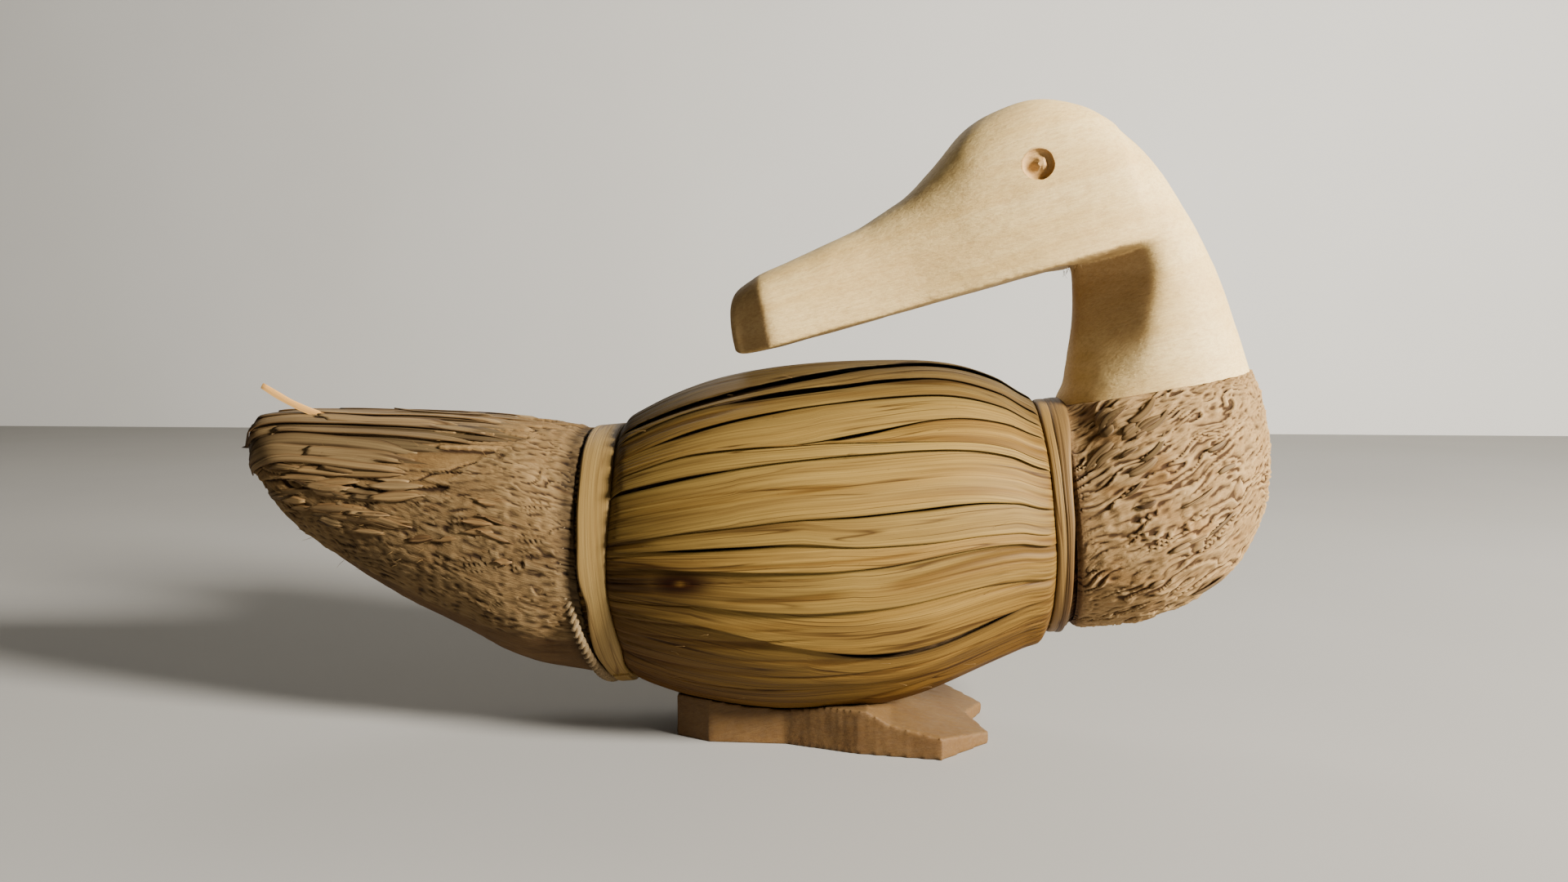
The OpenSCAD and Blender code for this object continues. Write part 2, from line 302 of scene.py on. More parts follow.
class Shader:
    """A short way to build a node material."""

    def __init__(self, name, roughness, specular=0.35):
        self.material = bpy.data.materials.new(name)
        self.material.use_nodes = True
        self.tree = self.material.node_tree
        self.bsdf = self.tree.nodes["Principled BSDF"]
        self.bsdf.inputs["Specular IOR Level"].default_value = specular
        self.bsdf.inputs["Roughness"].default_value = roughness

    def feed(self, socket, value):
        """Gives a socket its value, or links it to the socket that gives it."""
        if isinstance(value, bpy.types.NodeSocket):
            self.tree.links.new(value, socket)
        else:
            socket.default_value = value

    def node(self, kind, inputs=(), **settings):
        made = self.tree.nodes.new(kind)
        for key, value in settings.items():
            setattr(made, key, value)
        for key, value in dict(inputs).items():
            self.feed(made.inputs[key], value)
        return made

    def object_space(self, scale, turn_y=0.0):
        """Place in the object, in millimetres over scale. turn_y leans the grain."""
        place = self.node("ShaderNodeTexCoord").outputs["Object"]
        turned = self.node("ShaderNodeMapping", {"Vector": place, "Rotation": (0, turn_y, 0)})
        return self.node("ShaderNodeMapping", {"Vector": turned.outputs[0],
                                               "Scale": [1 / (MM * s) for s in scale]}).outputs[0]

    def grain(self, lumps, lean=0.0, **how):
        """Noise in the object, with lumps of the given size in millimetres."""
        return self.noise(self.object_space(lumps, lean), **how)

    def veins(self, along, across, **how):
        """Noise on a strip, with lumps of the given length and width in millimetres."""
        uv = self.node("ShaderNodeUVMap", uv_map="along").outputs[0]
        space = self.node("ShaderNodeMapping", {"Vector": uv, "Scale": (10 / along, 10 / across, 1)})
        return self.noise(space.outputs[0], **how)

    def noise(self, space, detail=3.0, rough=0.55, twist=0.0):
        return self.node("ShaderNodeTexNoise", {"Vector": space, "Scale": 1.0, "Detail": detail,
                                                "Roughness": rough, "Distortion": twist}).outputs[0]

    def painted(self, name):
        return self.node("ShaderNodeAttribute", attribute_name=name).outputs["Color"]

    def ramp(self, value, stops):
        made = self.node("ShaderNodeValToRGB", {"Fac": value})
        elements = made.color_ramp.elements
        while len(elements) < len(stops):
            elements.new(0.5)
        for element, (place, colour) in zip(elements, stops):
            element.position = place
            element.color = (*colour, 1) if isinstance(colour, tuple) else (colour, colour, colour, 1)
        return made.outputs[0]

    def mix(self, factor, a, b, blend="MIX"):
        made = self.node("ShaderNodeMix", data_type="RGBA", blend_type=blend)
        for number, value in ((0, factor), (6, a), (7, b)):
            self.feed(made.inputs[number], (*value, 1) if isinstance(value, tuple) else value)
        return made.outputs[2]

    def over(self, colour, value, stops, other):
        """Lays another colour over this one, as far as the ramp of value says."""
        return self.mix(self.ramp(value, stops), colour, other)

    def tinted(self, colour):
        return self.mix(1.0, colour, self.painted("tint"), "MULTIPLY")

    def math(self, operation, a, b):
        made = self.node("ShaderNodeMath", operation=operation)
        for socket, value in zip(made.inputs, (a, b)):
            self.feed(socket, value)
        return made.outputs[0]

    def sum(self, a, share_a, b, share_b):
        return self.math("ADD", self.math("MULTIPLY", a, share_a), self.math("MULTIPLY", b, share_b))

    def finish(self, colour, height=None, strength=0.3, distance=0.3, roughness=None):
        self.tree.links.new(colour, self.bsdf.inputs["Base Color"])
        if roughness is not None:
            self.tree.links.new(roughness, self.bsdf.inputs["Roughness"])
        if height is not None:
            bump = self.node("ShaderNodeBump", {"Height": height, "Strength": strength,
                                                "Distance": distance * MM})
            self.tree.links.new(bump.outputs[0], self.bsdf.inputs["Normal"])
        return self.material


def leaf_material(name, light, mid, dark, roughness=0.5, specular=0.3):
    """Dry leaf: fine veins along the strip, soft patches, brown streaks, painted tint."""
    s = Shader(name, roughness, specular)
    veins = s.veins(90, 0.45, detail=4, rough=0.6)
    broad = s.veins(60, 4, detail=3)
    streak = s.veins(45, 1.6, detail=4, rough=0.7)
    colour = s.ramp(broad, [(0.3, mid), (0.62, light)])
    colour = s.over(colour, streak, [(0.56, 0.0), (0.80, 0.5)], dark)
    colour = s.over(colour, veins, [(0.36, 0.42), (0.6, 0.0)], dark)
    # Lines along the folds are painted dark, as shade in the folds.
    bend = s.veins(95, 3.4, detail=1, rough=0.4)
    fold = s.math("ABSOLUTE", s.math("SUBTRACT", bend, 0.5), 0)
    seen = s.ramp(s.veins(40, 6, detail=1), [(0.40, 0.0), (0.55, 0.9)])
    line = s.math("MULTIPLY", s.ramp(fold, [(0.0, 1.0), (0.022, 0.0)]), seen)
    colour = s.mix(line, colour, dark)
    speck = s.veins(1.6, 0.7, detail=2)
    colour = s.over(colour, speck, [(0.66, 0.0), (0.8, 0.35)], dark)
    colour = s.tinted(colour)
    height = s.sum(veins, 0.7, streak, 0.3)
    height = s.math("SUBTRACT", height, s.math("MULTIPLY", line, 0.6))
    rough = s.ramp(streak, [(0.3, roughness - 0.06), (0.8, roughness + 0.16)])
    return s.finish(colour, height, strength=0.35, distance=0.35, roughness=rough)


def trimmed_material(name, lean, tone):
    """Cut leaf edges: ridges with painted highlight, pockets and slits with painted shade, and fine fibres
    that lie at the lean's angle.
    """
    s = Shader(name, 0.82, 0.2)
    fibres = s.grain((5.0, 0.5, 0.42), lean, detail=4, rough=0.65)
    patches = s.grain((11, 9, 6), lean, detail=3)
    brown = s.grain((9, 3, 2.2), lean, detail=3, rough=0.6)
    colour = s.ramp(patches, [(0.32, (0.35, 0.215, 0.085)), (0.66, (0.46, 0.30, 0.13))])
    colour = s.over(colour, brown, [(0.58, 0.0), (0.74, 0.6)], (0.28, 0.135, 0.04))
    colour = s.over(colour, fibres, [(0.3, 0.45), (0.55, 0.0)], (0.20, 0.10, 0.03))
    # Painted shade in the hollows and slits, painted highlight on the ridges.
    depth = s.painted("relief_shading")
    colour = s.over(colour, depth, [(0.12, 0.95), (0.5, 0.0)], (0.055, 0.024, 0.006))
    colour = s.over(colour, depth, [(0.62, 0.0), (0.95, 0.45)], (0.60, 0.42, 0.21))
    colour = s.mix(1.0, colour, (tone, tone * 0.97, tone * 0.92), "MULTIPLY")
    colour = s.tinted(colour)
    return s.finish(colour, fibres, strength=0.7, distance=0.6)


def wood_material(name, dust_and_shade=False):
    """Raw pale wood: faint rings and fine fuzzy grain that follow the jaw."""
    s = Shader(name, 0.62, 0.28)
    grain = s.grain((14, 0.55, 0.5), JAW_ANGLE, detail=5, rough=0.65)
    rings = s.grain((120, 16, 7), JAW_ANGLE, detail=2, twist=0.4)
    patches = s.grain((26, 18, 12), JAW_ANGLE, detail=3)
    pores = s.grain((3.2, 0.22, 0.22), JAW_ANGLE, detail=2)
    colour = s.ramp(rings, [(0.34, (0.74, 0.515, 0.195)), (0.62, (0.84, 0.62, 0.27))])
    colour = s.over(colour, patches, [(0.5, 0.0), (0.8, 0.35)], (0.64, 0.41, 0.17))
    colour = s.over(colour, grain, [(0.34, 0.34), (0.56, 0.0)], (0.54, 0.33, 0.13))
    colour = s.over(colour, pores, [(0.62, 0.0), (0.78, 0.3)], (0.44, 0.25, 0.10))
    if dust_and_shade:
        dust = s.grain((3, 3, 2), detail=4, rough=0.7)
        colour = s.over(colour, dust, [(0.42, 0.0), (0.7, 0.5)], (0.72, 0.58, 0.38))
    fuzz = s.grain((2.8, 1.1, 0.9), JAW_ANGLE, detail=4, rough=0.7)
    colour = s.over(colour, fuzz, [(0.35, 0.42), (0.55, 0.0)], (0.52, 0.32, 0.12))
    # On the feet the whole colour is painted far darker, as shade.
    if dust_and_shade:
        colour = s.mix(1.0, colour, (0.18, 0.14, 0.108), "MULTIPLY")
    colour = s.tinted(colour)
    height = s.sum(grain, 0.5, fuzz, 1.1)
    return s.finish(colour, height, strength=0.6 if not dust_and_shade else 0.5, distance=0.3)


def inner_straw_material():
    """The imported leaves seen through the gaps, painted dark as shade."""
    s = Shader("inner straw", 0.85, 0.15)
    strands = s.grain((70, 1.4, 1.4), detail=4, rough=0.6)
    colour = s.ramp(strands, [(0.3, (0.05, 0.028, 0.012)), (0.7, (0.17, 0.10, 0.045))])
    return s.finish(colour, strands, strength=0.6, distance=0.8)


def cord_material():
    s = Shader("twisted cord", 0.7, 0.25)
    fibres = s.grain((0.5, 0.5, 0.5), detail=4, rough=0.7)
    colour = s.ramp(fibres, [(0.3, (0.12, 0.078, 0.033)), (0.65, (0.26, 0.18, 0.09))])
    return s.finish(colour, fibres, strength=0.5, distance=0.3)


def stage_material(name, roughness, specular, lumps, dark, light):
    s = Shader(name, roughness, specular)
    mottle = s.grain((lumps, lumps, lumps), detail=3)
    return s.finish(s.ramp(mottle, [(0.3, dark), (0.7, light)]))


# light, mid and dark colour, roughness, specular
GOLDEN = leaf_material("golden leaf", (0.29, 0.184, 0.047), (0.185, 0.108, 0.027),
                       (0.05, 0.022, 0.005), 0.56, 0.10)
TAIL_LEAF = leaf_material("split tail leaf", (0.27, 0.185, 0.085), (0.19, 0.122, 0.054),
                          (0.05, 0.026, 0.011), 0.62, 0.15)
PALE_LEAF = leaf_material("pale leaf band", (0.29, 0.19, 0.062), (0.24, 0.148, 0.045),
                          (0.10, 0.05, 0.014), 0.52, 0.2)
BAND_LEAF = leaf_material("folded leaf band", (0.18, 0.105, 0.034), (0.12, 0.065, 0.02),
                          (0.045, 0.021, 0.007), 0.52, 0.2)
SPLINTER = leaf_material("split stalk", (0.74, 0.42, 0.13), (0.60, 0.31, 0.08), (0.30, 0.13, 0.03), 0.5)
BREAST_CUT = trimmed_material("trimmed breast", math.radians(27), 0.80)
TAIL_CUT = trimmed_material("trimmed tail", math.radians(-14), 0.44)
WOOD = wood_material("raw pale wood")
FEET_WOOD = wood_material("raw wood of the feet", dust_and_shade=True)
INNER = inner_straw_material()
CORD = cord_material()


# ---------------------------------------------------------------- barrel

def barrel_radius(u):
    s = np.clip(np.asarray(u, float) / BODY_LEN, 0, 1)
    return REAR_R + (FRONT_R - REAR_R) * s + BULGE * np.maximum(1 - (2 * s - 1) ** 2, 0) ** 0.85


def on_body(u, r, angle):
    """A point from its place along the body's axis, its distance from it, and its angle.
    Angle 0 is the top and a quarter turn is the duck's right side, towards -Y."""
    c, s = math.cos(BODY_TILT), math.sin(BODY_TILT)
    rise = r * np.cos(angle)
    return np.stack([REAR_WAIST[0] + u * c - rise * s, -r * np.sin(angle),
                     REAR_WAIST[1] + u * s + rise * c], -1)


def from_top(angle):
    """Angle in degrees from the top, the same on both sides."""
    return 180 - np.abs(180 - np.mod(angle, 360))


def waist_lean(x, z, waist_z, face_x):
    """How far a bundle's skin shifts near its waist, so that its end follows the tilted body."""
    return math.tan(BODY_TILT) * (z - waist_z) * np.maximum(0, 1 - np.abs(x - face_x) / 40)


def between(table, x, count):
    """The numbers after the first in each row of a table, on a smooth curve, at the first number x."""
    fine = spline(table, count)
    order = np.argsort(fine[:, 0])
    return [np.interp(x, fine[order, 0], column) for column in fine[order, 1:].T]


def ovals(top, bottom, half, square, angles):
    """y and z of one oval per station."""
    y, z = oval(half[:, None], ((top - bottom) / 2)[:, None], square[:, None], angles[None, :])
    return y, z + ((top + bottom) / 2)[:, None]


# Edges of the bands along the body's axis, by angle from the top: angle, rear edge, front edge
REAR_BAND_EDGES = [
    (0, -4.2, 5.3), (27, -4.1, 6.0), (47, -3.6, 6.3), (62, -3.8, 6.1), (76, -3.9, 5.0), (89, -4.5, 4.0),
    (96, -4.1, 3.5), (103, -3.2, 3.4), (111, -3.6, 3.5), (120, -4.1, 3.7), (130, -4.3, 3.7),
    (145, -3.4, 2.7), (180, -3.4, 3.0)]
FRONT_BAND_EDGES = [
    (0, 133.4, 142.0), (30, 133.1, 141.4), (56, 133.2, 139.4), (71, 133.0, 138.5), (86, 132.8, 138.1),
    (101, 132.7, 137.3), (127, 131.6, 136.4), (149, 130.8, 135.4), (180, 130.6, 135.2)]
REAR_BAND_R, FRONT_BAND_R = 39.75, 35.05


def band_edge(table, column, angle):
    """Place of a band's edge at an angle in degrees. Both sides of the body are alike."""
    fine = spline(table, 120)
    return np.interp(from_top(angle), fine[:, 0], fine[:, column])


def soft_min(a, b, reach):
    return np.minimum(a, b) - reach * np.log1p(np.exp(-np.abs(a - b) / reach))


EDGE_STATIONS = (-11, 30.5, 65.5, 100.5, 143)    # along the body's axis
# Edges between leaves on the duck's right side, in degrees from the top, at those stations
RIGHT_EDGES = [
    (-9, -10, -10, -11, -9), (24, 27, 21, 9, 3), (33, 32, 30, 25, 27), (46, 42, 39, 36, 36),
    (52, 51, 53.5, 47.5, 43), (53, 52, 54, 56, 57.5), (58, 59.5, 59, 59, 62), (79, 77.5, 77, 78, 80),
    (83, 83, 84.5, 89, 90), (87, 89.5, 92.5, 93, 95.5), (96, 101, 105, 107, 111),
    (104, 108, 119, 124, 117), (125, 132, 134, 139, 136), (142, 146, 148, 153, 150),
    (161, 164, 165, 168, 166), (180, 181, 180, 182, 180)]
LEFT_LEAVES = 13
TUCK = 1.5                              # how far a leaf reaches under its neighbour
# Places where a leaf has drawn back and shows the packing inside, painted dark as shade: leaf, place,
# half-length, width in mm
GAPS = [(1, 62, 62, 1.7), (2, 72, 34, 1.3), (4, 80, 20, 0.7), (11, 96, 36, 3.6), (12, 112, 18, 2.4),
        (6, 16, 30, 0.5), (7, 92, 28, 0.5), (8, 40, 30, 0.5), (10, 55, 26, 0.6),
        (9, 96, 20, 0.6), (3, 40, 30, 0.6), (12, 40, 24, 0.6)]
KNOT_LEAF, KNOT_U, KNOT_ANGLE = 9, 26.5, 93.8


def leaf_edges():
    """All the edges round the barrel, in degrees, one row per edge."""
    rng = np.random.default_rng(11)
    rows = [list(e) for e in RIGHT_EDGES]
    share = rng.uniform(0.6, 1.5, LEFT_LEAVES)
    first, last = np.array(rows[-1], float), np.array(rows[0], float) + 360
    for done in np.cumsum(share)[:-1] / share.sum():
        rows.append(list(first + (last - first) * done + rng.uniform(-2.2, 2.2, len(EDGE_STATIONS))))
    rows.append(list(last))
    return np.array(rows, float)


def edge_at(row, u):
    """An edge's angle at each u, on a smooth curve through its stations."""
    fine = spline(np.stack([EDGE_STATIONS, row], 1), 60)
    return np.interp(u, fine[:, 0], fine[:, 1])


def pressed(u, radius, angle):
    """Holds leaves down under the bands, so that they plunge steeply where they go in."""
    rear = REAR_BAND_R - 0.35 + 1.2 * np.maximum(u - band_edge(REAR_BAND_EDGES, 2, angle) + 0.1, 0)
    front = FRONT_BAND_R - 0.3 + 1.7 * np.maximum(band_edge(FRONT_BAND_EDGES, 1, angle) - u + 0.1, 0)
    return soft_min(radius, soft_min(rear, front, 0.1), 0.35)


def bent_upward(points, u, angle):
    """The barrel sits a little high towards the front, and its back is a little full."""
    raised = 2.4 * np.exp(-((u - 112) / 20) ** 2) * smoothstep(132, 122, u)
    full = 0.8 * np.exp(-((u - 30) / 18) ** 2) * np.maximum(np.cos(np.radians(angle)), 0) ** 3
    points[..., 2] += raised + full
    return points


def leaf_relief(place, v, over, pinch, seed):
    """Height of a leaf over the barrel, and how strongly its creases and pleats are painted with shade."""
    lift = -0.8 + 1.15 * over ** 1.2                                # laid like roof tiles
    lift = lift + 0.22 * np.sin(math.pi * v)                        # gently crowned
    lift = lift + 0.28 * noise(place, (48, 5.5, 1), seed)           # slow waves
    lift = lift + 0.09 * noise(place, (45, 1.4, 1), seed + 1)       # lengthwise ridges
    fold = np.abs(noise(place, (150, 3.6, 1), seed + 2))
    where = noise(place, (26, 6, 1), seed + 3) + 0.7 * pinch
    crease = smoothstep(0.16, 0.02, fold) * smoothstep(-0.2, 0.35, where)
    pleat = np.abs(noise(place, (90, 1.5, 1), seed + 4))
    lift = lift - 0.34 * crease + pinch * (0.9 * pleat - 0.35)
    return lift, np.clip(crease + pinch * smoothstep(0.3, 0.0, pleat), 0, 1)


def leaf_stations():
    """Stations along a leaf, close together where it goes in under the bands."""
    return np.concatenate([np.linspace(-6.2, 1.5, 6), np.linspace(2, 8.5, 24), np.linspace(9, 25, 16),
                           np.linspace(27, 108, 48), np.linspace(110, 126, 16), np.linspace(126.5, 134.2, 28),
                           np.linspace(135, 142, 6)])


def barrel_leaf(index, upper, lower, right_side):
    """One leaf, from waist to waist. Its lower edge lies over the next leaf's upper edge."""
    rng = np.random.default_rng(200 + index)
    u = leaf_stations()
    top, bottom = edge_at(upper, u), edge_at(lower, u)
    per_mm = np.degrees(1 / barrel_radius(u))
    tuck = TUCK * per_mm
    start = top - tuck if right_side else top
    end = bottom if right_side else bottom + tuck
    for leaf, centre, reach, width in GAPS:
        if leaf == index and right_side:
            start = start + (width + TUCK) * per_mm * np.maximum(1 - ((u - centre) / reach) ** 2, 0) ** 0.6
    widest = np.max(np.radians(end - start) * barrel_radius(u))
    cols = int(np.clip(widest / 0.42, 10, 60))
    v = np.linspace(0, 1, cols)[None, :]
    uu = np.repeat(u[:, None], cols, 1)
    wander = 0.3 * noise(np.stack([u, 0 * u, 0 * u + 9 * index], -1), (15, 1, 1), 3)[:, None]
    angle = start[:, None] + (end - start)[:, None] * v + wander
    over = v if right_side else 1 - v
    place = np.stack([uu, angle * 0.9, np.full_like(angle, 7.0 * index)], -1)
    into_band = np.minimum(uu - band_edge(REAR_BAND_EDGES, 2, angle),
                           band_edge(FRONT_BAND_EDGES, 1, angle) - uu)
    pinch = np.exp(-np.maximum(into_band, 0) / np.where(uu < 70, 13, 5 + 7 * smoothstep(70, 110, angle)))
    lift, crease = leaf_relief(place, v, over, pinch, 21)
    radius = pressed(uu, barrel_radius(uu) + lift, angle)
    outer = bent_upward(on_body(uu, radius, np.radians(angle)), uu, angle)
    inner = bent_upward(on_body(uu, radius - 0.4, np.radians(angle)), uu, angle)
    points, faces = shell(outer, inner)
    piece = new_piece(f"leaf_{index:02d}", points, faces, GOLDEN)
    across = np.radians(end - start)[:, None] * barrel_radius(uu) * (v - 0.5)
    uv = np.stack([uu / 10, across / 10 + 7.3 * index], -1).reshape(-1, 2)
    lay_uv(piece, np.concatenate([uv, uv]))
    tint = leaf_tint(index, rng, uu, angle, over, place, pinch, crease, right_side)
    # The leaf's inner face gets 0.4 of its tint, as painted shade.
    paint(piece, "tint", np.concatenate([tint, tint * 0.4]))
    return piece


def leaf_tint(index, rng, u, angle, over, place, pinch, crease, right_side):
    """Colour of one leaf: its own tone, greyer on top, browner and with painted shade below, and painted
    shade in its folds, under its neighbour's edge and at the bands.
    """
    shade = 0.97 + 0.11 * rng.uniform(-1, 1)
    warm = rng.uniform(-1, 1)
    tint = np.ones(angle.shape + (3,)) * shade * (1 + np.array([0.03, -0.01, -0.08]) * warm)
    down = from_top(angle)
    in_shade = smoothstep(60, 5, u) * smoothstep(60, 100, down)
    stain = smoothstep(0.0, 0.8, noise(place, (130, 2.8, 1), 41))
    # Low down: browner, and painted darker as shade. On top: greyer. Painted shade in in_shade, where the
    # leaf goes under the front band, where its edge tucks under the neighbour, in the creases and in the
    # pleats near the bands. A little darker along the lapping edge. The stain is the leaf's own.
    for mask, loss in ((smoothstep(95, 150, down), (0.34, 0.46, 0.62)),
                       (smoothstep(150, 172, down), (0.4, 0.52, 0.6)),
                       (smoothstep(50, 14, down), (0.60, 0.57, 0.38)),
                       (in_shade, (0.30, 0.36, 0.36)),
                       (smoothstep(135.5, 137.5, u), (0.72, 0.82, 0.9)),
                       (np.exp(-over / 0.06), 0.62),
                       (smoothstep(0.95, 1.0, over), 0.22),
                       (crease, (0.42, 0.5, 0.58)),
                       (0.22 * pinch, (0.85, 1.0, 1.25)),
                       (stain, (0.08, 0.13, 0.2))):
        tint = shaded(tint, mask, loss)
    if index == KNOT_LEAF and right_side:
        across = (angle - KNOT_ANGLE) / 3.9
        along = (u - KNOT_U) / 9.5
        spot = np.exp(-(across ** 2 + along ** 2) ** 1.8)
        trail = np.exp(-(across * 1.15) ** 2) * smoothstep(2, -14, u - KNOT_U) * 0.75
        tint = shaded(tint, np.clip(np.maximum(spot, trail), 0, 0.98), (0.86, 0.95, 0.99))
        core = np.exp(-(((angle - KNOT_ANGLE) / 0.8) ** 2 + ((u - KNOT_U - 0.5) / 1.3) ** 2))[..., None]
        tint = tint * (1 - core) + core * np.array([0.85, 0.7, 0.5])
    return tint.reshape(-1, 3)


def make_packing():
    """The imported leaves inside, dark and ridged, seen only through the gaps."""
    u = np.linspace(-4, BODY_LEN + 2, 70)
    uu, angle = np.meshgrid(u, np.arange(0, 360, 1.5), indexing="ij")
    ridges = 0.7 * noise(np.stack([uu, angle * 0.9, 0 * uu], -1), (60, 2.6, 1), 77)
    radius = pressed(uu, barrel_radius(uu) - 3.6 + ridges, angle)
    points = bent_upward(on_body(uu, radius, np.radians(angle)), uu, angle)
    piece = new_piece("packed_leaves", points.reshape(-1, 3), capped_tube_faces(*uu.shape), INNER)
    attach(piece, BODY)
    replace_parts(piece, "core_bundle")


def make_barrel():
    edges = leaf_edges()
    for i in range(len(edges) - 1):
        piece = barrel_leaf(i, edges[i], edges[i + 1], i < len(RIGHT_EDGES) - 1)
        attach(piece, BODY)
        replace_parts(piece, f"barrel_leaf_{i + 1:02d}")


# ---------------------------------------------------------------- bands and cords

def wound_strip(name, material, section, seed, shade, turn=(0, 360), steps=300):
    """A strip wound round the body. section gives its outline at an angle: along the axis, and radius."""
    closed = turn[1] - turn[0] >= 360
    angle = np.linspace(turn[0], turn[1], steps, endpoint=not closed)
    rings, uvs, tints = [], [], []
    for a in angle:
        outline = section(a)
        wave = 0.10 * noise(np.array([[a * 0.7, 0, 0]]), (14, 1, 1), seed)[0]
        rings.append(on_body(outline[:, 0], outline[:, 1] + wave, np.radians(a)))
        uvs.append(np.stack([np.full(len(outline), a * 0.066), outline[:, 0] / 10 + seed], -1))
        tints.append(shade(a, outline))
    rings = np.array(rings)
    rows, cols = rings.shape[:2]
    if closed:
        faces = grid_faces(rows, cols, wrap=True)
        faces += [[(rows - 1) * cols + c, c, (c + 1) % cols, (rows - 1) * cols + (c + 1) % cols]
                  for c in range(cols)]
    else:
        faces = capped_tube_faces(rows, cols)
    piece = new_piece(name, rings.reshape(-1, 3), faces, material)
    lay_uv(piece, np.array(uvs).reshape(-1, 2))
    paint(piece, "tint", np.concatenate(tints))
    return piece


def strip_outline(rear, front, inner_r, thickness, fullness, creases=(), count=27):
    """Outline of a strip's section: outer face with rounded rims and creases, flat inner face."""
    w = np.linspace(-1, 1, count)
    outer = inner_r + thickness * (0.2 + 0.8 * (1 - np.abs(w) ** fullness) ** 0.5)
    for place, depth, width in creases:
        outer = outer - depth * np.exp(-((w - place) / width) ** 2)
    along = (rear + front) / 2 + w * (front - rear) / 2
    inner = np.stack([along[::-1], np.full(count, inner_r - 0.4)], -1)
    return np.concatenate([np.stack([along, outer], -1), inner])


def edges_of(table, a):
    return float(band_edge(table, 1, a)), float(band_edge(table, 2, a))


def low_down(a, start):
    """0 at the start angle and above, 1 under the belly."""
    return float(smoothstep(start, 150, from_top(a)))


def rear_section(a):
    rear, front = edges_of(REAR_BAND_EDGES, a)
    drift = 0.15 * math.sin(math.radians(a) * 2)
    creases = ((0.3 + drift, 0.04, 0.04), (-0.45, 0.03, 0.05))
    return strip_outline(rear, front, REAR_BAND_R, 0.85, 12, creases)


def rear_shade(a, outline):
    along = outline[:, 0]
    rim = smoothstep(0.7, 1.0, np.abs(along - along.mean()) / np.ptp(along) * 2)
    white = np.ones((len(outline), 3))
    return white * (1 - rim[:, None] * 0.12) * (1 - low_down(a, 95) * np.array([0.03, 0.07, 0.16]))


def tuck_section(a):
    rear, front = edges_of(REAR_BAND_EDGES, a)
    return strip_outline(rear + 0.9, front - 0.2 - 0.04 * (a - 150), REAR_BAND_R + 1.0, 0.6, 12)


def fold_place(a):
    """Where the front strip is folded over, along the body's axis."""
    rear, front = edges_of(FRONT_BAND_EDGES, a)
    return rear + (front - rear) * (0.34 + 0.2 * float(smoothstep(20, 100, from_top(a))))


def back_section(a):
    rear, _ = edges_of(FRONT_BAND_EDGES, a)
    return strip_outline(rear, fold_place(a) + 0.7, FRONT_BAND_R, 0.95, 3.0, ((0.3, 0.04, 0.06),))


def front_section(a):
    _, front = edges_of(FRONT_BAND_EDGES, a)
    creases = ((-0.3, 0.10, 0.08), (0.35, 0.05, 0.05))
    return strip_outline(fold_place(a) - 0.2, front, FRONT_BAND_R, 1.15, 3.2, creases)


def brown(a, outline):
    return np.ones((len(outline), 3)) * (1 - low_down(a, 60) * np.array([0.18, 0.27, 0.36]))


def make_bands():
    rear = wound_strip("rear_band_strip", PALE_LEAF, rear_section, seed=1, shade=rear_shade)
    tuck = wound_strip("rear_band_end", PALE_LEAF, tuck_section, turn=(150, 197),
                       steps=50, seed=2, shade=rear_shade)
    back = wound_strip("front_band_rear_fold", PALE_LEAF, back_section, seed=3,
                       shade=lambda a, o: brown(a, o) * np.array([0.93, 0.88, 0.8]))
    front = wound_strip("front_band_front_fold", BAND_LEAF, front_section, seed=4, shade=brown)
    for piece, node in ((rear, "rear_band"), (tuck, "rear_band_tuck"), (back, "front_band_back_wrap"),
                        (front, "front_band_front_wrap")):
        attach(piece, BODY)
        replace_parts(piece, node)


def twisted_cord(name, along, radius, turn, thickness, pitch):
    """Two strands laid round each other, wound round the body."""
    angle = np.arange(turn[0], turn[1], 0.6)
    sides = np.linspace(0, 2 * math.pi, 9, endpoint=False)
    u0, r0 = along(angle), radius(angle)
    parts = []
    for strand in (0, math.pi):
        twist = np.radians(angle) * 39 / pitch * 2 * math.pi + strand
        u = u0 + 0.25 * thickness * np.cos(twist)
        r = r0 + 0.25 * thickness * np.sin(twist)
        half = 0.30 * thickness
        rings = on_body(u[:, None] + half * np.cos(sides), r[:, None] + half * np.sin(sides),
                        np.radians(angle)[:, None])
        parts.append((rings.reshape(-1, 3), capped_tube_faces(len(angle), len(sides)),
                      np.ones(len(angle) * len(sides))))
    points, faces, _ = merge(parts)
    return new_piece(name, points, faces, CORD)


# The rear cord's last turn comes out from under the tail's straw, low down: angle, place, radius
CORD_SHOWING = [(100, -9.2, 37.4), (108, -8.2, 38.6), (115, -7.4, 40.6), (123, -6.6, 41.0), (131, -6.0, 41.0),
                (143, -5.3, 40.7), (160, -5.1, 39.9), (180, -5.5, 40.1), (205, -5.6, 40.1), (225, -6.4, 40.3),
                (240, -7.8, 40.0), (250, -9.0, 38.9), (260, -10.0, 37.4)]


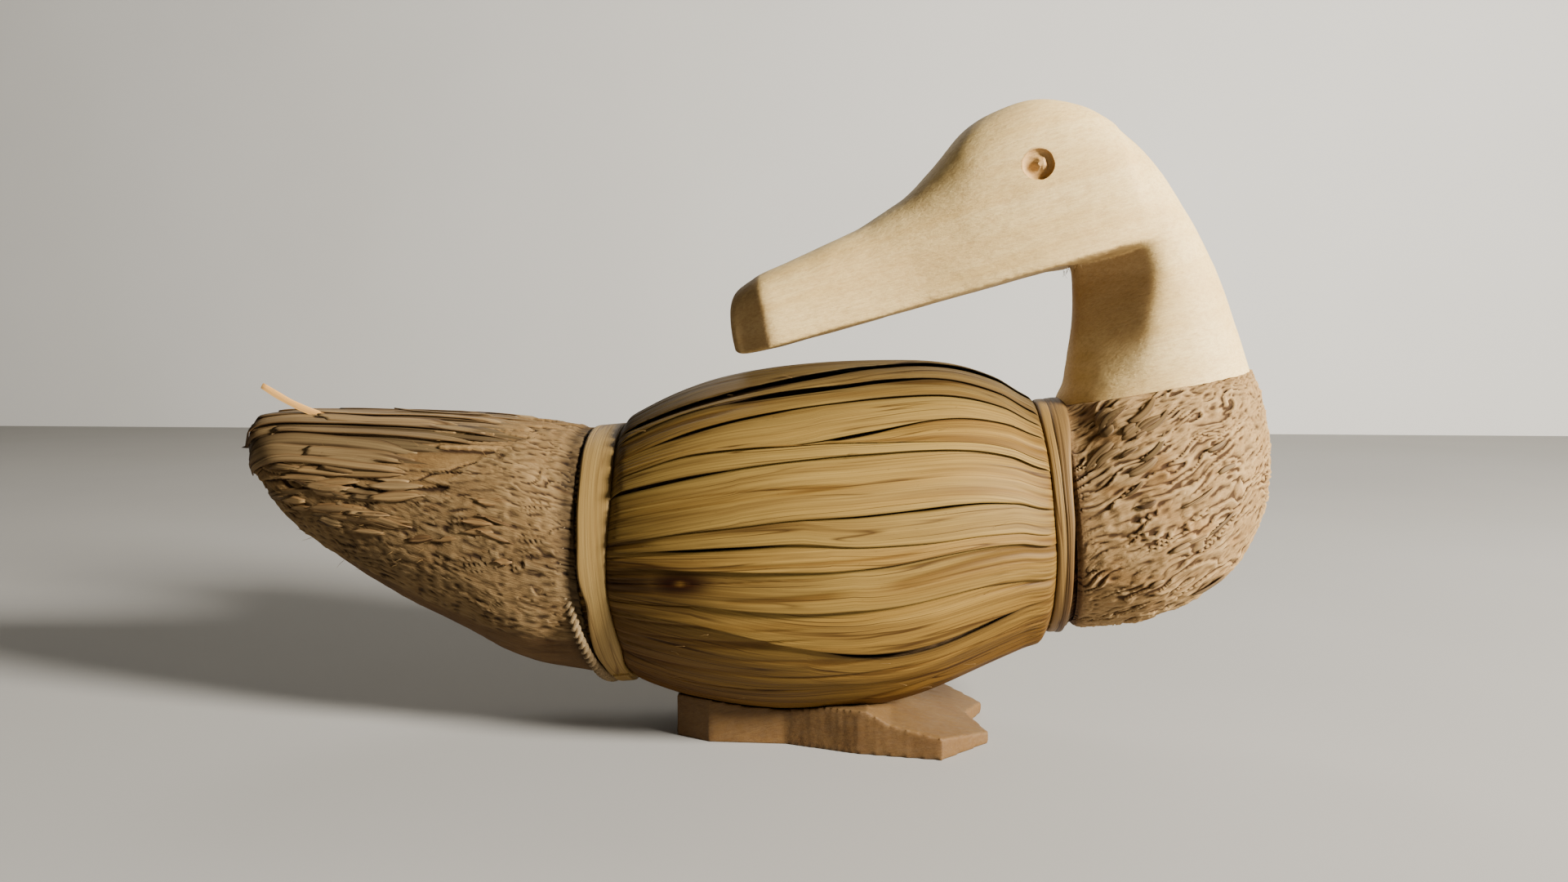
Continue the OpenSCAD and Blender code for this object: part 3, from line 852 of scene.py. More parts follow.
def make_cords():
    """The cords that hold the waists."""
    showing = spline(CORD_SHOWING, 80)

    def rear_along(a):
        hidden = -4.0 - 6.2 * smoothstep(30, 100, a)
        return np.where(a < 100, hidden, np.interp(a, showing[:, 0], showing[:, 1]))

    def rear_radius(a):
        return np.where(a < 100, 37.4, np.interp(a, showing[:, 0], showing[:, 2]))

    rear = twisted_cord("rear_cord_turns", rear_along, rear_radius, (-60, 262), 2.9, 4.2)
    front = twisted_cord("front_cord_turns", lambda a: BODY_LEN - 4.5 + a / 360 * 1.9,
                         lambda a: 33.8 + 0 * a, (0, 720), 1.8, 3.5)
    for piece, node in ((rear, "rear_binding_cord"), (front, "front_binding_cord")):
        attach(piece, BODY)
        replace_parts(piece, node)


# ---------------------------------------------------------------- cut straw

def blurred(field, rounds):
    """A grid of heights, smoothed. Its columns run round and meet."""
    for _ in range(rounds):
        field = (np.roll(field, 1, 1) + np.roll(field, -1, 1) + 2 * field) / 4
        field = (np.vstack([field[:1], field[:-1]]) + np.vstack([field[1:], field[-1:]]) + 2 * field) / 4
    return field


def hollow_shade(height, rounds=7, reach=0.55):
    """0 in hollows, about a half on the flat and 1 on ridges."""
    return np.clip(0.5 + (height - blurred(height, rounds)) / reach, 0, 1)


def torn_surface(points, lean, seed, size=1.0, layered=1.0):
    """Leaves that were trimmed across: ledges that run along the lean, each with a sharp drop and a painted
    shadow, the slit, under it, and fine fibres between them. layered says how strong the ledges are.
    Gives height, the slits' painted shadow and tone."""
    q = leaned(points, lean) / size
    q = q + np.stack([2.0 * noise(q, (11, 8, 7), seed + 1), 1.4 * noise(q, (9, 8, 7), seed + 2),
                      1.5 * noise(q, (9, 8, 6), seed + 3)], -1)
    layers = noise(q, (17, 7, 3.4), seed + 4) + 0.45 * noise(q, (7, 3, 1.4), seed + 5)
    step = np.mod(1.35 * layers + 0.30 * q[..., 2], 1.0)
    shown = smoothstep(-0.35, 0.40, noise(q, (8, 6, 3.5), seed + 6) + 0.25 * (layered - 1))
    shown = (0.15 + 0.85 * shown) * layered
    ledge = step ** 1.3 * smoothstep(1.0, 0.88, step)
    slit_shadow = np.maximum(smoothstep(0.90, 0.98, step), smoothstep(0.09, 0.0, step)) * shown
    wavy = q[..., 2] + 0.5 * noise(q, (3.2, 3.2, 1.8), seed + 30)
    fibres = 1 - np.abs(noise(np.stack([q[..., 0], q[..., 1], wavy], -1), (5.5, 1.5, 1.0), seed + 31)) * 2
    fuzz = noise(q, (2.6, 2.0, 1.3), seed + 32)
    swell = noise(q, (9, 7, 4.5), seed + 7)
    height = shown * (1.3 * ledge - 0.5) + 0.24 * fibres + 0.22 * fuzz + 0.30 * swell - 0.2
    tone = noise(q, (8, 4, 2.6), seed + 8) * 0.5 + 0.5
    return height, np.clip(slit_shadow, 0, 1), tone[..., None]


# ---------------------------------------------------------------- tail

# x, top, bottom, half-width
TAIL = [(-157.3, 96.8, 79.5, 12), (-155.8, 98.2, 77, 16), (-150, 99, 71.5, 21), (-139, 99.4, 60.5, 26.5),
        (-112, 99, 43, 33), (-85, 98, 30, 37.5), (-68, 97, 21.5, 39.3), (-47.5, 95.4, 15.6, 39.6),
        (-44.5, 94.6, 16.2, 39.0)]
TAIL_SQUARE = 2.5
SINK = 0.9                              # how deep a strip's front end goes into the straw, mm
TAIL_FRONT = -47.5
# Where the long leaves end and the trimmed straw begins, and where the smooth underside begins: x, z
LONG_LEAF_LIMIT = [(-158, 71), (-146, 75.5), (-125, 77), (-104, 77.5), (-86, 79), (-77, 87), (-70, 92),
                   (-60, 95.5), (-44, 98)]
UNDERSIDE_LIMIT = [(-158, 60), (-139, 57), (-127, 57.5), (-109, 50.5), (-86, 40.5), (-71, 36), (-44, 32)]


def tail_section(x):
    """Top, bottom and half-width of the tail at x."""
    return between(TAIL, x, 400)


def tail_square(x):
    """How square the tail's section is: round where it goes in under the band."""
    return 2.02 + (TAIL_SQUARE - 2.02) * smoothstep(-50, -66, x)


def band_lean(x, z):
    return waist_lean(x, z, REAR_WAIST[1], TAIL_FRONT)


def tail_grid(xs, angles):
    top, bottom, half = tail_section(xs)
    y, z = ovals(top, bottom, half, tail_square(xs), angles)
    x = xs[:, None] - band_lean(xs[:, None], z)
    return np.stack([x, y, z], -1)


def above(points, limit, ragged, seed):
    """1 above a ragged line, 0 below it."""
    line = np.interp(points[..., 0], [p[0] for p in limit], [p[1] for p in limit])
    return smoothstep(-1.2, 1.2, points[..., 2] - line + ragged * noise(points, (9, 6, 3), seed))


def make_tail_core():
    """The mass of the tail: long leaves above, trimmed and torn straw on the sides, smooth below."""
    xs = spline([(-157.5,), (-156.5,), (-153,), (-140,), (-110,), (-80,), (-60,), (-44.5,)], 300)[:, 0]
    angles = np.linspace(0, 2 * math.pi, 460, endpoint=False)
    points = tail_grid(xs, angles)
    normal = outward_normals(points, centre_line(points, points[..., 2].mean(1)[:, None]), wrap=True)
    long_leaf = above(points, LONG_LEAF_LIMIT, 2.6, 75)
    under = (1 - above(points, UNDERSIDE_LIMIT, 1.4, 76)) * smoothstep(-152, -141, points[..., 0])
    torn, slit_shadows, tone = torn_surface(points, math.radians(-9), 60, 0.8, 0.55)
    strips, strip_edge, strip_chance = flaps(points, (46, 4.6, 3.6), 300, 0.22)
    veins = noise(points, (50, 1.1, 1.1), 71)
    split = smoothstep(0.10, 0.0, strip_edge) * smoothstep(0.35, 0.7, strip_chance[..., 2])
    laid = 0.75 * strips + 0.12 * veins - 1.0 * split - 0.35
    smooth_skin = 0.10 * noise(points, (9, 1.3, 1.3), 72) + 0.25 * noise(points, (12, 7, 7), 77) - 0.25
    side = np.maximum(1 - long_leaf - under, 0)
    height = 0.85 * torn * side + laid * long_leaf * (1 - under) + smooth_skin * under
    at_band = smoothstep(-52, -47.5, points[..., 0] + band_lean(points[..., 0], points[..., 2]))
    height = height - 0.9 * at_band
    moved = points + normal * height[..., None]
    rows, cols = points.shape[:2]
    faces = grid_faces(rows, cols, wrap=True)
    faces += [[rows * cols, c, (c + 1) % cols] for c in range(cols)]
    faces.append([(rows - 1) * cols + i for i in range(cols - 1, -1, -1)])
    tail_end = np.array([[-157.8, 0, 88.5]])
    piece = new_piece("tail_cut_layers", np.concatenate([moved.reshape(-1, 3), tail_end]), faces, TAIL_CUT)
    # Painted shade in hollows, under the ledges and in the splits between the long leaves; painted highlight
    # on ridges.
    relief_shading = hollow_shade(height)
    relief_shading = relief_shading * (1 - 0.8 * slit_shadows * side) * (1 - 0.85 * split * long_leaf)
    tint = np.ones(points.shape[:2] + (3,)) * (0.86 + 0.28 * tone)
    # Painted shade on the smooth underside, which is also browner.
    tint = shaded(tint, under, (0.36, 0.44, 0.50))
    leafy = long_leaf[..., None] * (1 - under[..., None])
    tint = tint * (1 - leafy * (1 - (0.80 + 0.35 * strip_chance[..., 1:2]) * np.array([1.0, 0.95, 0.86])))
    tint = shaded(tint, smoothstep(-0.2, 0.6, noise(points, (22, 14, 12), 73)), 0.10)
    # Painted shadow next to the band.
    tint = shaded(tint, at_band, 0.5)
    # Painted shade at the tail's rear end, and on its end point.
    tint = shaded(tint, smoothstep(-154, -157.5, points[..., 0]), (0.35, 0.42, 0.5))
    paint(piece, "relief_shading", np.append(relief_shading.ravel(), 0.3))
    paint(piece, "tint", np.concatenate([tint.reshape(-1, 3), [[0.5, 0.45, 0.4]]]))
    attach(piece, BODY)
    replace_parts(piece, "tail_bundle")


def tail_line(x, reach, lift):
    """Points on the tail at x, reach mm round its skin from the top (+ to the duck's right)."""
    fine = np.linspace(math.pi / 2, -math.pi / 2, 160)
    top, bottom, half = tail_section(x)
    out = np.zeros((len(x), 3))
    for i in range(len(x)):
        y, z = oval(half[i], (top[i] - bottom[i]) / 2, tail_square(x[i]), fine)
        z = z + (top[i] + bottom[i]) / 2
        run = np.concatenate([[0], np.cumsum(np.hypot(np.diff(y), np.diff(z)))])
        q = abs(reach[i])
        yy, zz = np.interp(q, run, y), np.interp(q, run, z)
        ty, tz = np.interp(q + 0.5, run, y) - yy, np.interp(q + 0.5, run, z) - zz
        size = max(math.hypot(ty, tz), 1e-6)
        yy, zz = yy - tz / size * lift[i], zz + ty / size * lift[i]
        side = -1 if reach[i] >= 0 else 1
        out[i] = (x[i], side * yy, zz)
    out[:, 0] -= band_lean(out[:, 0], out[:, 2])
    return out


def lengthwise_strip(rear, front, reach, width, base, rng, curl, pointed=0.0):
    """A flat leaf laid along the tail. Its rear end is torn, and its front end sinks into the straw.
    reach is its distance from the tail's top line at both ends."""
    length = front - rear
    rows, cols = max(int(length / 1.8), 6), max(int(width / 0.6), 4)
    t = np.linspace(0, 1, rows)
    v = np.linspace(-0.5, 0.5, cols)
    seed = int(rng.integers(1, 9999))
    centre = reach[0] + (reach[1] - reach[0]) * t
    centre = centre + 0.8 * noise(np.stack([t * length, 0 * t, 0 * t], -1), (20, 1, 1), seed)
    narrow = 1 - (0.45 + 0.4 * pointed) * smoothstep(0.75 - 0.3 * pointed, 1.0, t)
    narrow = narrow - (rng.uniform(0, 0.35) + 0.5 * pointed) * smoothstep(0.25 + 0.15 * pointed, 0.0, t)
    slant, tilt = rng.uniform(-7, 7) * (1 - 0.6 * pointed), rng.uniform(-0.6, 0.6)
    torn = rng.uniform(-0.8, 0.8, cols)
    outer = np.zeros((rows, cols, 3))
    uv = np.zeros((rows, cols, 2))
    for c in range(cols):
        x = rear + length * t + (slant * v[c] + torn[c]) * (1 - t) ** 4
        across = centre + v[c] * width * narrow
        lift = base + tilt * v[c] + curl * (1 - t) ** 5
        lift = lift - (base + SINK) * smoothstep(0.8, 1.0, t + 0.1 * torn[c])
        lift = lift + 0.16 * noise(np.stack([x, across, 0 * x], -1), (13, 2.2, 1), seed)
        outer[:, c] = tail_line(x, across, lift)
        uv[:, c, 0], uv[:, c, 1] = x / 10, (v[c] * width) / 10 + seed * 0.37
    normal = outward_normals(outer, centre_line(outer, 75), wrap=False)
    points, faces = shell(outer, outer - normal * 0.32)
    rim = np.repeat(np.abs(2 * v)[None, :], rows, 0)
    laid = np.concatenate([uv, rim[..., None]], -1).reshape(-1, 3)
    return points, faces, np.concatenate([laid, laid])


def strips_piece(name, strips):
    """One piece from many (strip, colour) pairs."""
    points, faces, uv = merge([strip for strip, _ in strips])
    piece = new_piece(name, points, faces, TAIL_LEAF)
    lay_uv(piece, uv[:, :2])
    tint = []
    for (place, _, laid), colour in strips:
        # Painted shade: darker at the tail's rear end, and along each strip's long edges.
        end_shaded = shaded(colour, smoothstep(-150, -158, place[:, 0]), (0.3, 0.4, 0.45))
        tint.append(shaded(end_shaded, smoothstep(0.68, 1.0, laid[:, 2]), (0.36, 0.44, 0.5)))
    paint(piece, "tint", np.concatenate(tint))
    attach(piece, BODY)
    return piece


def make_tail_leaves():
    """Long flat leaves on the tail's upper side, in layers, with stepped ends."""
    rng = np.random.default_rng(31)
    groups = [[] for _ in range(9)]
    widest = 43.0
    for layer, (step, base) in enumerate(((3.6, -0.1), (4.8, 0.35), (8.0, 0.85))):
        place = -widest + layer * 1.3
        while place < widest:
            width = rng.uniform(1.8, 5.0)
            outward = abs(place) / widest
            stepped = rng.uniform(0, 3) if layer < 2 else rng.uniform(2, 45)
            rear = -157.2 + stepped + 5.0 * max(outward - 0.5, 0)
            front = rng.uniform(-76, -52) - 46 * max(outward - 0.42, 0) - 5 * layer
            # The lowest layer is painted darker, as shade between the strips above it.
            colour = rng.uniform(0.62, 1.15) * np.array([1, 0.98, 0.94]) * (0.55, 0.95, 1.05)[layer]
            spread = np.interp([rear, front], [-158, -110, -60], [0.68, 0.92, 1.0]) * rng.uniform(0.98, 1.02)
            strip = lengthwise_strip(rear, front, place * spread,
                                     width, base + rng.uniform(-0.15, 0.35), rng,
                                     curl=float(np.clip(rng.normal(0.0, 0.4), -0.2, 0.7)) if layer else 0)
            groups[min(int((place + widest) / (2 * widest) * 9), 8)].append((strip, colour))
            place += step * rng.uniform(0.8, 1.2)
    for number, strips in enumerate(groups):
        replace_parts(strips_piece(f"tail_strips_{number + 1}", strips), f"tail_leaf_{number + 1:02d}")


def make_tail_flakes():
    """Short torn leaf ends between the long leaves and the trimmed straw."""
    rng = np.random.default_rng(47)
    strips = []
    for side in (1, -1):
        for _ in range(40):
            rear = rng.uniform(-152, -104)
            low = np.interp(rear, [-152, -104], [30, 46])
            reach = side * (low + rng.uniform(-6, 13))
            length = rng.uniform(8, 24)
            warm = rng.uniform(0, 1)
            colour = rng.uniform(0.6, 1.25) * np.array([1, 0.98 - 0.06 * warm, 0.96 - 0.16 * warm])
            strip = lengthwise_strip(rear, rear + length, (reach, reach + side * rng.uniform(0.5, 4)),
                                     rng.uniform(1.2, 3.4), rng.uniform(0.0, 0.9), rng,
                                     curl=rng.uniform(-0.2, 0.6), pointed=rng.uniform(0.3, 1.0))
            strips.append((strip, colour))
        for _ in range(9):
            rear = rng.uniform(-100, -68)
            reach = side * rng.uniform(46, 66)
            front = rear + rng.uniform(5, 12)
            strip = lengthwise_strip(rear, front, (reach, reach + side * rng.uniform(-2, 3)),
                                     rng.uniform(1.0, 2.4), rng.uniform(0.0, 0.4), rng,
                                     curl=rng.uniform(0, 0.5), pointed=1.0)
            strips.append((strip, rng.uniform(0.75, 1.05) * np.array([1, 0.9, 0.78])))
    strips_piece("tail_flakes", strips)


def make_splinter():
    """A stray split stalk that stands off the tail."""
    rows = 18
    t = np.linspace(0, 1, rows)
    x = -132.2 - 20.2 * t
    z = 98.0 + 10.0 * t - 1.0 * np.sin(math.pi * t)
    y = -11 - 1.6 * t
    half = 1.12 * (1 - 0.15 * t) + 0.10 * noise(np.stack([x, y, z], -1), (4, 4, 4), 5)
    outline = [(-0.3, -1), (0.3, -0.8), (0.36, 0.1), (0.25, 1), (-0.2, 0.8), (-0.4, 0.0)]
    rings = np.array([[(x[i] + 0.45 * b * half[i], y[i] + a, z[i] + b * half[i] * 0.9) for a, b in outline]
                      for i in range(rows)])
    piece = new_piece("stray_splinter", rings.reshape(-1, 3), capped_tube_faces(rows, len(outline)), SPLINTER,
                      smooth=False)
    uv = np.stack([np.repeat(t * 2.4, len(outline)), np.tile([b * 0.11 for _, b in outline], rows)], -1)
    lay_uv(piece, uv)
    shade = np.repeat(1 - 0.6 * smoothstep(0.93, 1.0, t), len(outline))
    paint(piece, "tint", np.repeat(shade[:, None], 3, 1))
    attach(piece, BODY)
    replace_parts(piece, "loose_splinter")


# ---------------------------------------------------------------- breast

# x, bottom, top, half-width, squareness
BREAST = [(97.6, 34.9, 104.0, 34.6, 2.05), (102.5, 34, 105, 35.9, 2.05), (112, 35.4, 110.5, 37, 2.3),
          (122, 38, 112.5, 37.2, 2.4), (134, 42.6, 114.5, 34.5, 2.4), (144, 48.5, 115.5, 29.5, 2.3),
          (149.5, 53.5, 115.5, 24.5, 2.2), (153.4, 58.5, 113.6, 19.5, 2.1), (156.4, 65.5, 105, 14, 2.05),
          (158, 71.5, 98.5, 9, 2), (158.6, 77, 92.5, 5, 2), (158.8, 84, 85.6, 0.6, 2)]
BREAST_BACK = 102.0
FRONT_WAIST_Z = REAR_WAIST[1] + BODY_LEN * math.sin(BODY_TILT)
BREAST_LEAN = math.radians(30)


def make_breast():
    """The trimmed mass in front of the front band: torn leaf edges that rise forward."""
    stations = spline(BREAST, 260)
    angles = np.linspace(0, 2 * math.pi, 470, endpoint=False)
    x, bottom, top, half, square = stations.T
    y, z = ovals(top, bottom, half, square, angles)
    lean = waist_lean(x[:, None], z, FRONT_WAIST_Z, BREAST_BACK)
    points = np.stack([x[:, None] - lean, y, z], -1)
    normal = outward_normals(points, np.array([115.0, 0, 76.0]), wrap=True)
    torn, slit_shadows, tone = torn_surface(points, BREAST_LEAN, 90, 0.9, 1.0)
    from_band = points[..., 0] - points[:1, :, 0]
    height = 0.95 * (torn - 0.25) * (0.35 + 0.65 * smoothstep(0.5, 5.0, from_band))
    height = height - 0.6 * smoothstep(1.6, 0.2, from_band)
    moved = points + normal * height[..., None]
    rows, cols = points.shape[:2]
    tip = moved[-1].mean(0, keepdims=True)
    faces = grid_faces(rows, cols, wrap=True, flip=True)
    faces += [[rows * cols, (rows - 1) * cols + (c + 1) % cols, (rows - 1) * cols + c] for c in range(cols)]
    faces.append(list(range(cols)))
    piece = new_piece("breast_cut_layers", np.concatenate([moved.reshape(-1, 3), tip]), faces, BREAST_CUT)
    # Painted shade in hollows and under the ledges, painted highlight on ridges.
    relief_shading = hollow_shade(height) * (1 - 0.8 * slit_shadows)
    tint = np.ones(points.shape[:2] + (3,)) * (0.86 + 0.28 * tone)
    # Painted shadow next to the front band.
    tint = shaded(tint, 0.72 * np.exp(-(from_band / 2.6) ** 2), (0.9, 1.0, 1.05))
    tint = shaded(tint, smoothstep(0.25, 0.8, noise(points, (12, 9, 5), 131)), (0.10, 0.18, 0.28))
    paint(piece, "relief_shading", np.append(relief_shading.ravel(), 0.5))
    paint(piece, "tint", np.concatenate([tint.reshape(-1, 3), [[1, 1, 1]]]))
    cut_flat(piece, 0.9, keep_below=True)
    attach(piece, BODY)
    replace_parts(piece, "breast_bundle")


def cut_flat(piece, lift, keep_below):
    """Trims a piece flat, lift mm above the neck's seat."""
    up = Vector((-math.sin(SEAT_ANGLE), 0, math.cos(SEAT_ANGLE)))
    place = (Vector((SEAT[0], 0, SEAT[1])) + up * lift) * MM
    mesh = bmesh.new()
    mesh.from_mesh(piece.data)
    cut = bmesh.ops.bisect_plane(mesh, geom=mesh.verts[:] + mesh.edges[:] + mesh.faces[:], plane_co=place,
                                 plane_no=up, clear_outer=keep_below, clear_inner=not keep_below)
    rim = [e for e in cut["geom_cut"] if isinstance(e, bmesh.types.BMEdge)]
    bmesh.ops.holes_fill(mesh, edges=rim, sides=0)
    mesh.to_mesh(piece.data)
    mesh.free()


def make_breast_leaves():
    """Smooth leaves that stand out of the trimmed straw, mostly between the band and the neck."""
    rng = np.random.default_rng(61)
    strips = []
    for side in (1, -1):
        for k in range(26):
            near_neck = k < 14
            x = rng.uniform(101, 116) if near_neck else rng.uniform(104, 140)
            z = rng.uniform(84, 99) if near_neck else rng.uniform(46, 98)
            lean = math.radians(rng.uniform(30, 48) if near_neck else rng.uniform(18, 40))
            length, width = rng.uniform(5, 14), rng.uniform(0.9, 2.2)
            strips.append((breast_strip(x, z, lean, length, width, side, rng),
                           rng.uniform(0.6, 1.1) * np.array([1, 0.94, 0.86])))
    piece = strips_piece("breast_leaves", strips)


def breast_side(x, z):
    """Half-width of the breast at a place on its side."""
    bottom, top, half, square = between(BREAST, x, 200)
    rise = np.clip(np.abs(z - (top + bottom) / 2) / ((top - bottom) / 2), 0, 0.995)
    return half * (1 - rise ** square) ** (1 / square)


def breast_strip(x, z, lean, length, width, side, rng):
    """One leaf end laid on the side of the breast, one end sunk in."""
    rows, cols = 9, 5
    t, v = np.linspace(0, 1, rows)[:, None], np.linspace(-0.5, 0.5, cols)[None, :]
    taper = 1 - 0.9 * np.abs(2 * t - 1) ** 3
    across = v * width * taper + 0.12 * length * np.sin(math.pi * t) * rng.uniform(-1, 1)
    xs = x + t * length * math.cos(lean) - across * math.sin(lean)
    zs = z + t * length * math.sin(lean) + across * math.cos(lean)
    lift = rng.uniform(0.25, 0.7) - 1.2 * (2 * t - 1) ** 4 + rng.uniform(-0.35, 0.35) * v
    lean_back = waist_lean(xs, zs, FRONT_WAIST_Z, BREAST_BACK)
    ys = breast_side(xs, zs) + lift
    outer = np.stack([xs - lean_back, -side * ys, zs], -1)
    points, faces = shell(outer, outer + np.array([0, 0.35 * side, 0]))
    laid = np.stack([t * length / 10 + 0 * v, 0 * t + v * width / 10 + x, 0 * t + np.abs(2 * v)], -1)
    laid = laid.reshape(-1, 3)
    return points, faces, np.concatenate([laid, laid])


# ---------------------------------------------------------------- head and neck

# distance from the bill's tip, lift of the lower edge, height, half-width
HEAD = [
    (1.4, 2.4, 13, 7), (2.4, 1.2, 17, 8.7), (5, 0.4, 20.4, 9.6), (13, 0, 23.0, 14.1), (16.5, 0, 23.5, 14.5),
    (24, 0, 24.4, 14.5), (36, 0, 26.2, 14.5), (48, 0, 28.2, 14.8), (58, 0, 31, 15.5), (66, 0, 34.2, 16.4),
    (75, 0, 39.8, 17.8), (86, 0, 47.2, 19.7), (98, 0, 50.4, 21.0), (110, 0, 50, 21.5),
    (121, 0, 44.6, 21.1), (129, 0, 37, 19.8)]
HEAD_SQUARE = 2.6
# height, rear edge, front edge, half-width
NECK = [(92, 92, 157, 20.5), (104, 96, 155, 21.5), (109, 98.2, 154.2, 21.5), (114, 99, 152.9, 21),
        (126, 100.5, 148.8, 20), (136, 100.5, 145.2, 19.5), (146, 99.5, 140.8, 19.5), (154, 97, 136.8, 19.6),
        (162, 93, 132, 19.4), (170, 90, 126.8, 18.4), (178, 88, 120.6, 16.4), (185, 86, 113, 13.2),
        (190, 85, 106, 9.5)]
NECK_SQUARE = 2.15
EYE = (87.2, 172.8)                     # x, z
EYE_R, EYE_DEPTH, EYE_REACH = 4.5, 2.7, 20.6
# distance from the eye's centre, height over its floor: the pip, the floor, the wall, the way out
EYE_PROFILE = [(0.8, 1.55), (1.5, 1.1), (2.1, 0.35), (2.9, 0.0), (3.9, 0.1), (4.35, 0.6), (4.6, 1.6),
               (4.7, 2.9), (5.2, 5.0), (5.2, 9.0)]


def head_rings():
    front = spline(HEAD[:4], 12)[:-1]
    rings = []
    for s, lift, height, half in np.vstack([front, spline(HEAD[3:], 70)]):
        low, up = (height - lift) * 0.16, (height - lift) * 0.84
        y, z = oval(half, up, HEAD_SQUARE, np.linspace(0, math.pi, 60))
        side = np.array([(-1.0, 0.5), (-0.998, 0.15), (-0.97, 0.01), (-0.92, 0), (-0.5, 0), (0, 0),
                         (0.5, 0), (0.92, 0), (0.97, 0.01), (0.998, 0.15), (1.0, 0.5)])
        y = np.concatenate([y, side[:, 0] * half])
        z = np.concatenate([z + low, side[:, 1] * low]) + lift
        along = s + 0.1 * max(0, 1 - s / 40) * (z - lift)
        c, n = math.cos(JAW_ANGLE), math.sin(JAW_ANGLE)
        rings.append(np.stack([BILL_TIP[0] + along * c - z * n, y, BILL_TIP[1] + along * n + z * c], -1))
    return np.array(rings)


def neck_rings():
    angles = np.linspace(0, 2 * math.pi, 72, endpoint=False)
    rings = []
    for height, rear, front, half in spline(NECK, 70):
        x, y = oval((front - rear) / 2, half, NECK_SQUARE, angles)
        rings.append(np.stack([x + (front + rear) / 2, y, np.full_like(x, height)], -1))
    return np.array(rings)


def eye_cutter(side):
    """The space of a drilled eye: ragged wall, uneven floor, and a pip of wood left in it."""
    rng = np.random.default_rng(5 + side)
    angles = np.linspace(0, 2 * math.pi, 40, endpoint=False)
    circle = np.stack([np.cos(angles), np.sin(angles), 0 * angles], -1)
    ragged = 1 + 0.035 * noise(circle * 5, (1.6, 1.6, 1), 8 + side)
    rings = []
    for r, depth in EYE_PROFILE:
        lump = 1 + (0.16 if r < 2.5 else 0.0) * noise(circle * 2, (1.1, 1.1, 1), 19)
        rr = r * ragged * lump
        out = EYE_REACH - EYE_DEPTH + depth + rng.uniform(-0.06, 0.06, len(angles)) * (depth < 3)
        shift = 0.9 if r < 2.5 else 0.0
        rings.append(np.stack([EYE[0] + shift + rr * np.cos(angles), side * out, EYE[1] + 0.2 * shift
                               + rr * np.sin(angles)], -1))
    return np.array(rings)


def cut_eye(piece, side):
    rings = eye_cutter(side)
    cutter = new_piece("cutter", rings.reshape(-1, 3), capped_tube_faces(len(rings), rings.shape[1]), WOOD)
    face_outward(cutter)
    modifier = piece.modifiers.new("eye", "BOOLEAN")
    modifier.operation = "DIFFERENCE"
    modifier.solver = "EXACT"
    modifier.object = cutter
    apply_modifiers(piece)
    bpy.data.objects.remove(cutter)


def make_head():
    head, neck = head_rings(), neck_rings()
    parts = [(r.reshape(-1, 3), capped_tube_faces(*r.shape[:2]), np.zeros(r.shape[0] * r.shape[1]))
             for r in (head, neck)]
    points, faces, _ = merge(parts)
    piece = new_piece("head_bill_neck", points, faces, WOOD)
    face_outward(piece)
    remesh(piece, 0.8)
    cut_flat(piece, -0.4, keep_below=False)
    points = mesh_points(piece)
    jaw = on_jaw(points)[:, 2]
    keep_crisp = np.exp(-np.maximum(np.abs(jaw), 0) / 1.6) * (points[:, 0] < 104)
    back = smoothstep(104, 116, points[:, 0]) * smoothstep(100, 106, points[:, 2])
    soften(piece, 0.85 * (1 - keep_crisp), 3)
    soften(piece, back, 26)
    points, normals = mesh_points(piece), mesh_normals(piece)
    grain = leaned(points, JAW_ANGLE)
    points = points - neck_facet(points)
    height = 0.20 * noise(points, (13, 9, 9), 150) + 0.07 * noise(points, (5, 4, 4), 151)
    height = height + 0.035 * noise(grain, (9, 0.9, 0.9), 152)
    set_mesh_points(piece, points + normals * height[:, None])
    for side in (-1, 1):
        cut_eye(piece, side)
    piece.data.polygons.foreach_set("use_smooth", [True] * len(piece.data.polygons))
    piece.data.set_sharp_from_angle(angle=math.radians(50))
    points = mesh_points(piece)
    tint = np.ones((len(points), 3))
    # Painted shade in the recesses of the drilled eyes.
    for side in (-1, 1):
        away = np.hypot(points[:, 0] - EYE[0], points[:, 2] - EYE[1])
        out = side * points[:, 1]
        deep = (away < EYE_R + 0.3) * smoothstep(0.15, 1.2, EYE_REACH - out) * (out > 10)
        tint = shaded(tint, deep, (0.34, 0.44, 0.52))
    tint = shaded(tint, smoothstep(0.2, 0.8, noise(points, (30, 20, 20), 160)), (0.03, 0.05, 0.08))
    # Painted shade on the faces that turn away from the light.
    tint = shaded(tint, shade_away_from_light(points, mesh_normals(piece)), (0.44, 0.49, 0.49))
    paint(piece, "tint", tint)
    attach(piece, BODY)
    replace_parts(piece, "head_and_neck")


def shade_away_from_light(points, normals):
    """Painted shade: 1 on the bill's sawn end and in the hollow under the jaw, which face away from the
    light, and a half on the jaw's underside.
    """
    along = on_jaw(points)[:, 0]
    end = smoothstep(15.5, 13.5, along) * smoothstep(-0.05, -0.35, normals[:, 0])
    under = smoothstep(0.6, -0.4, on_jaw(points)[:, 2]) * smoothstep(108, 134, points[:, 2])
    hollow = under * smoothstep(-0.30, -0.52, normals[:, 0])
    jaw = smoothstep(-0.6, -0.9, normals[:, 2]) * smoothstep(60, 95, points[:, 0]) * (points[:, 2] > 120)
    return np.clip(end + hollow + 0.5 * jaw, 0, 1)


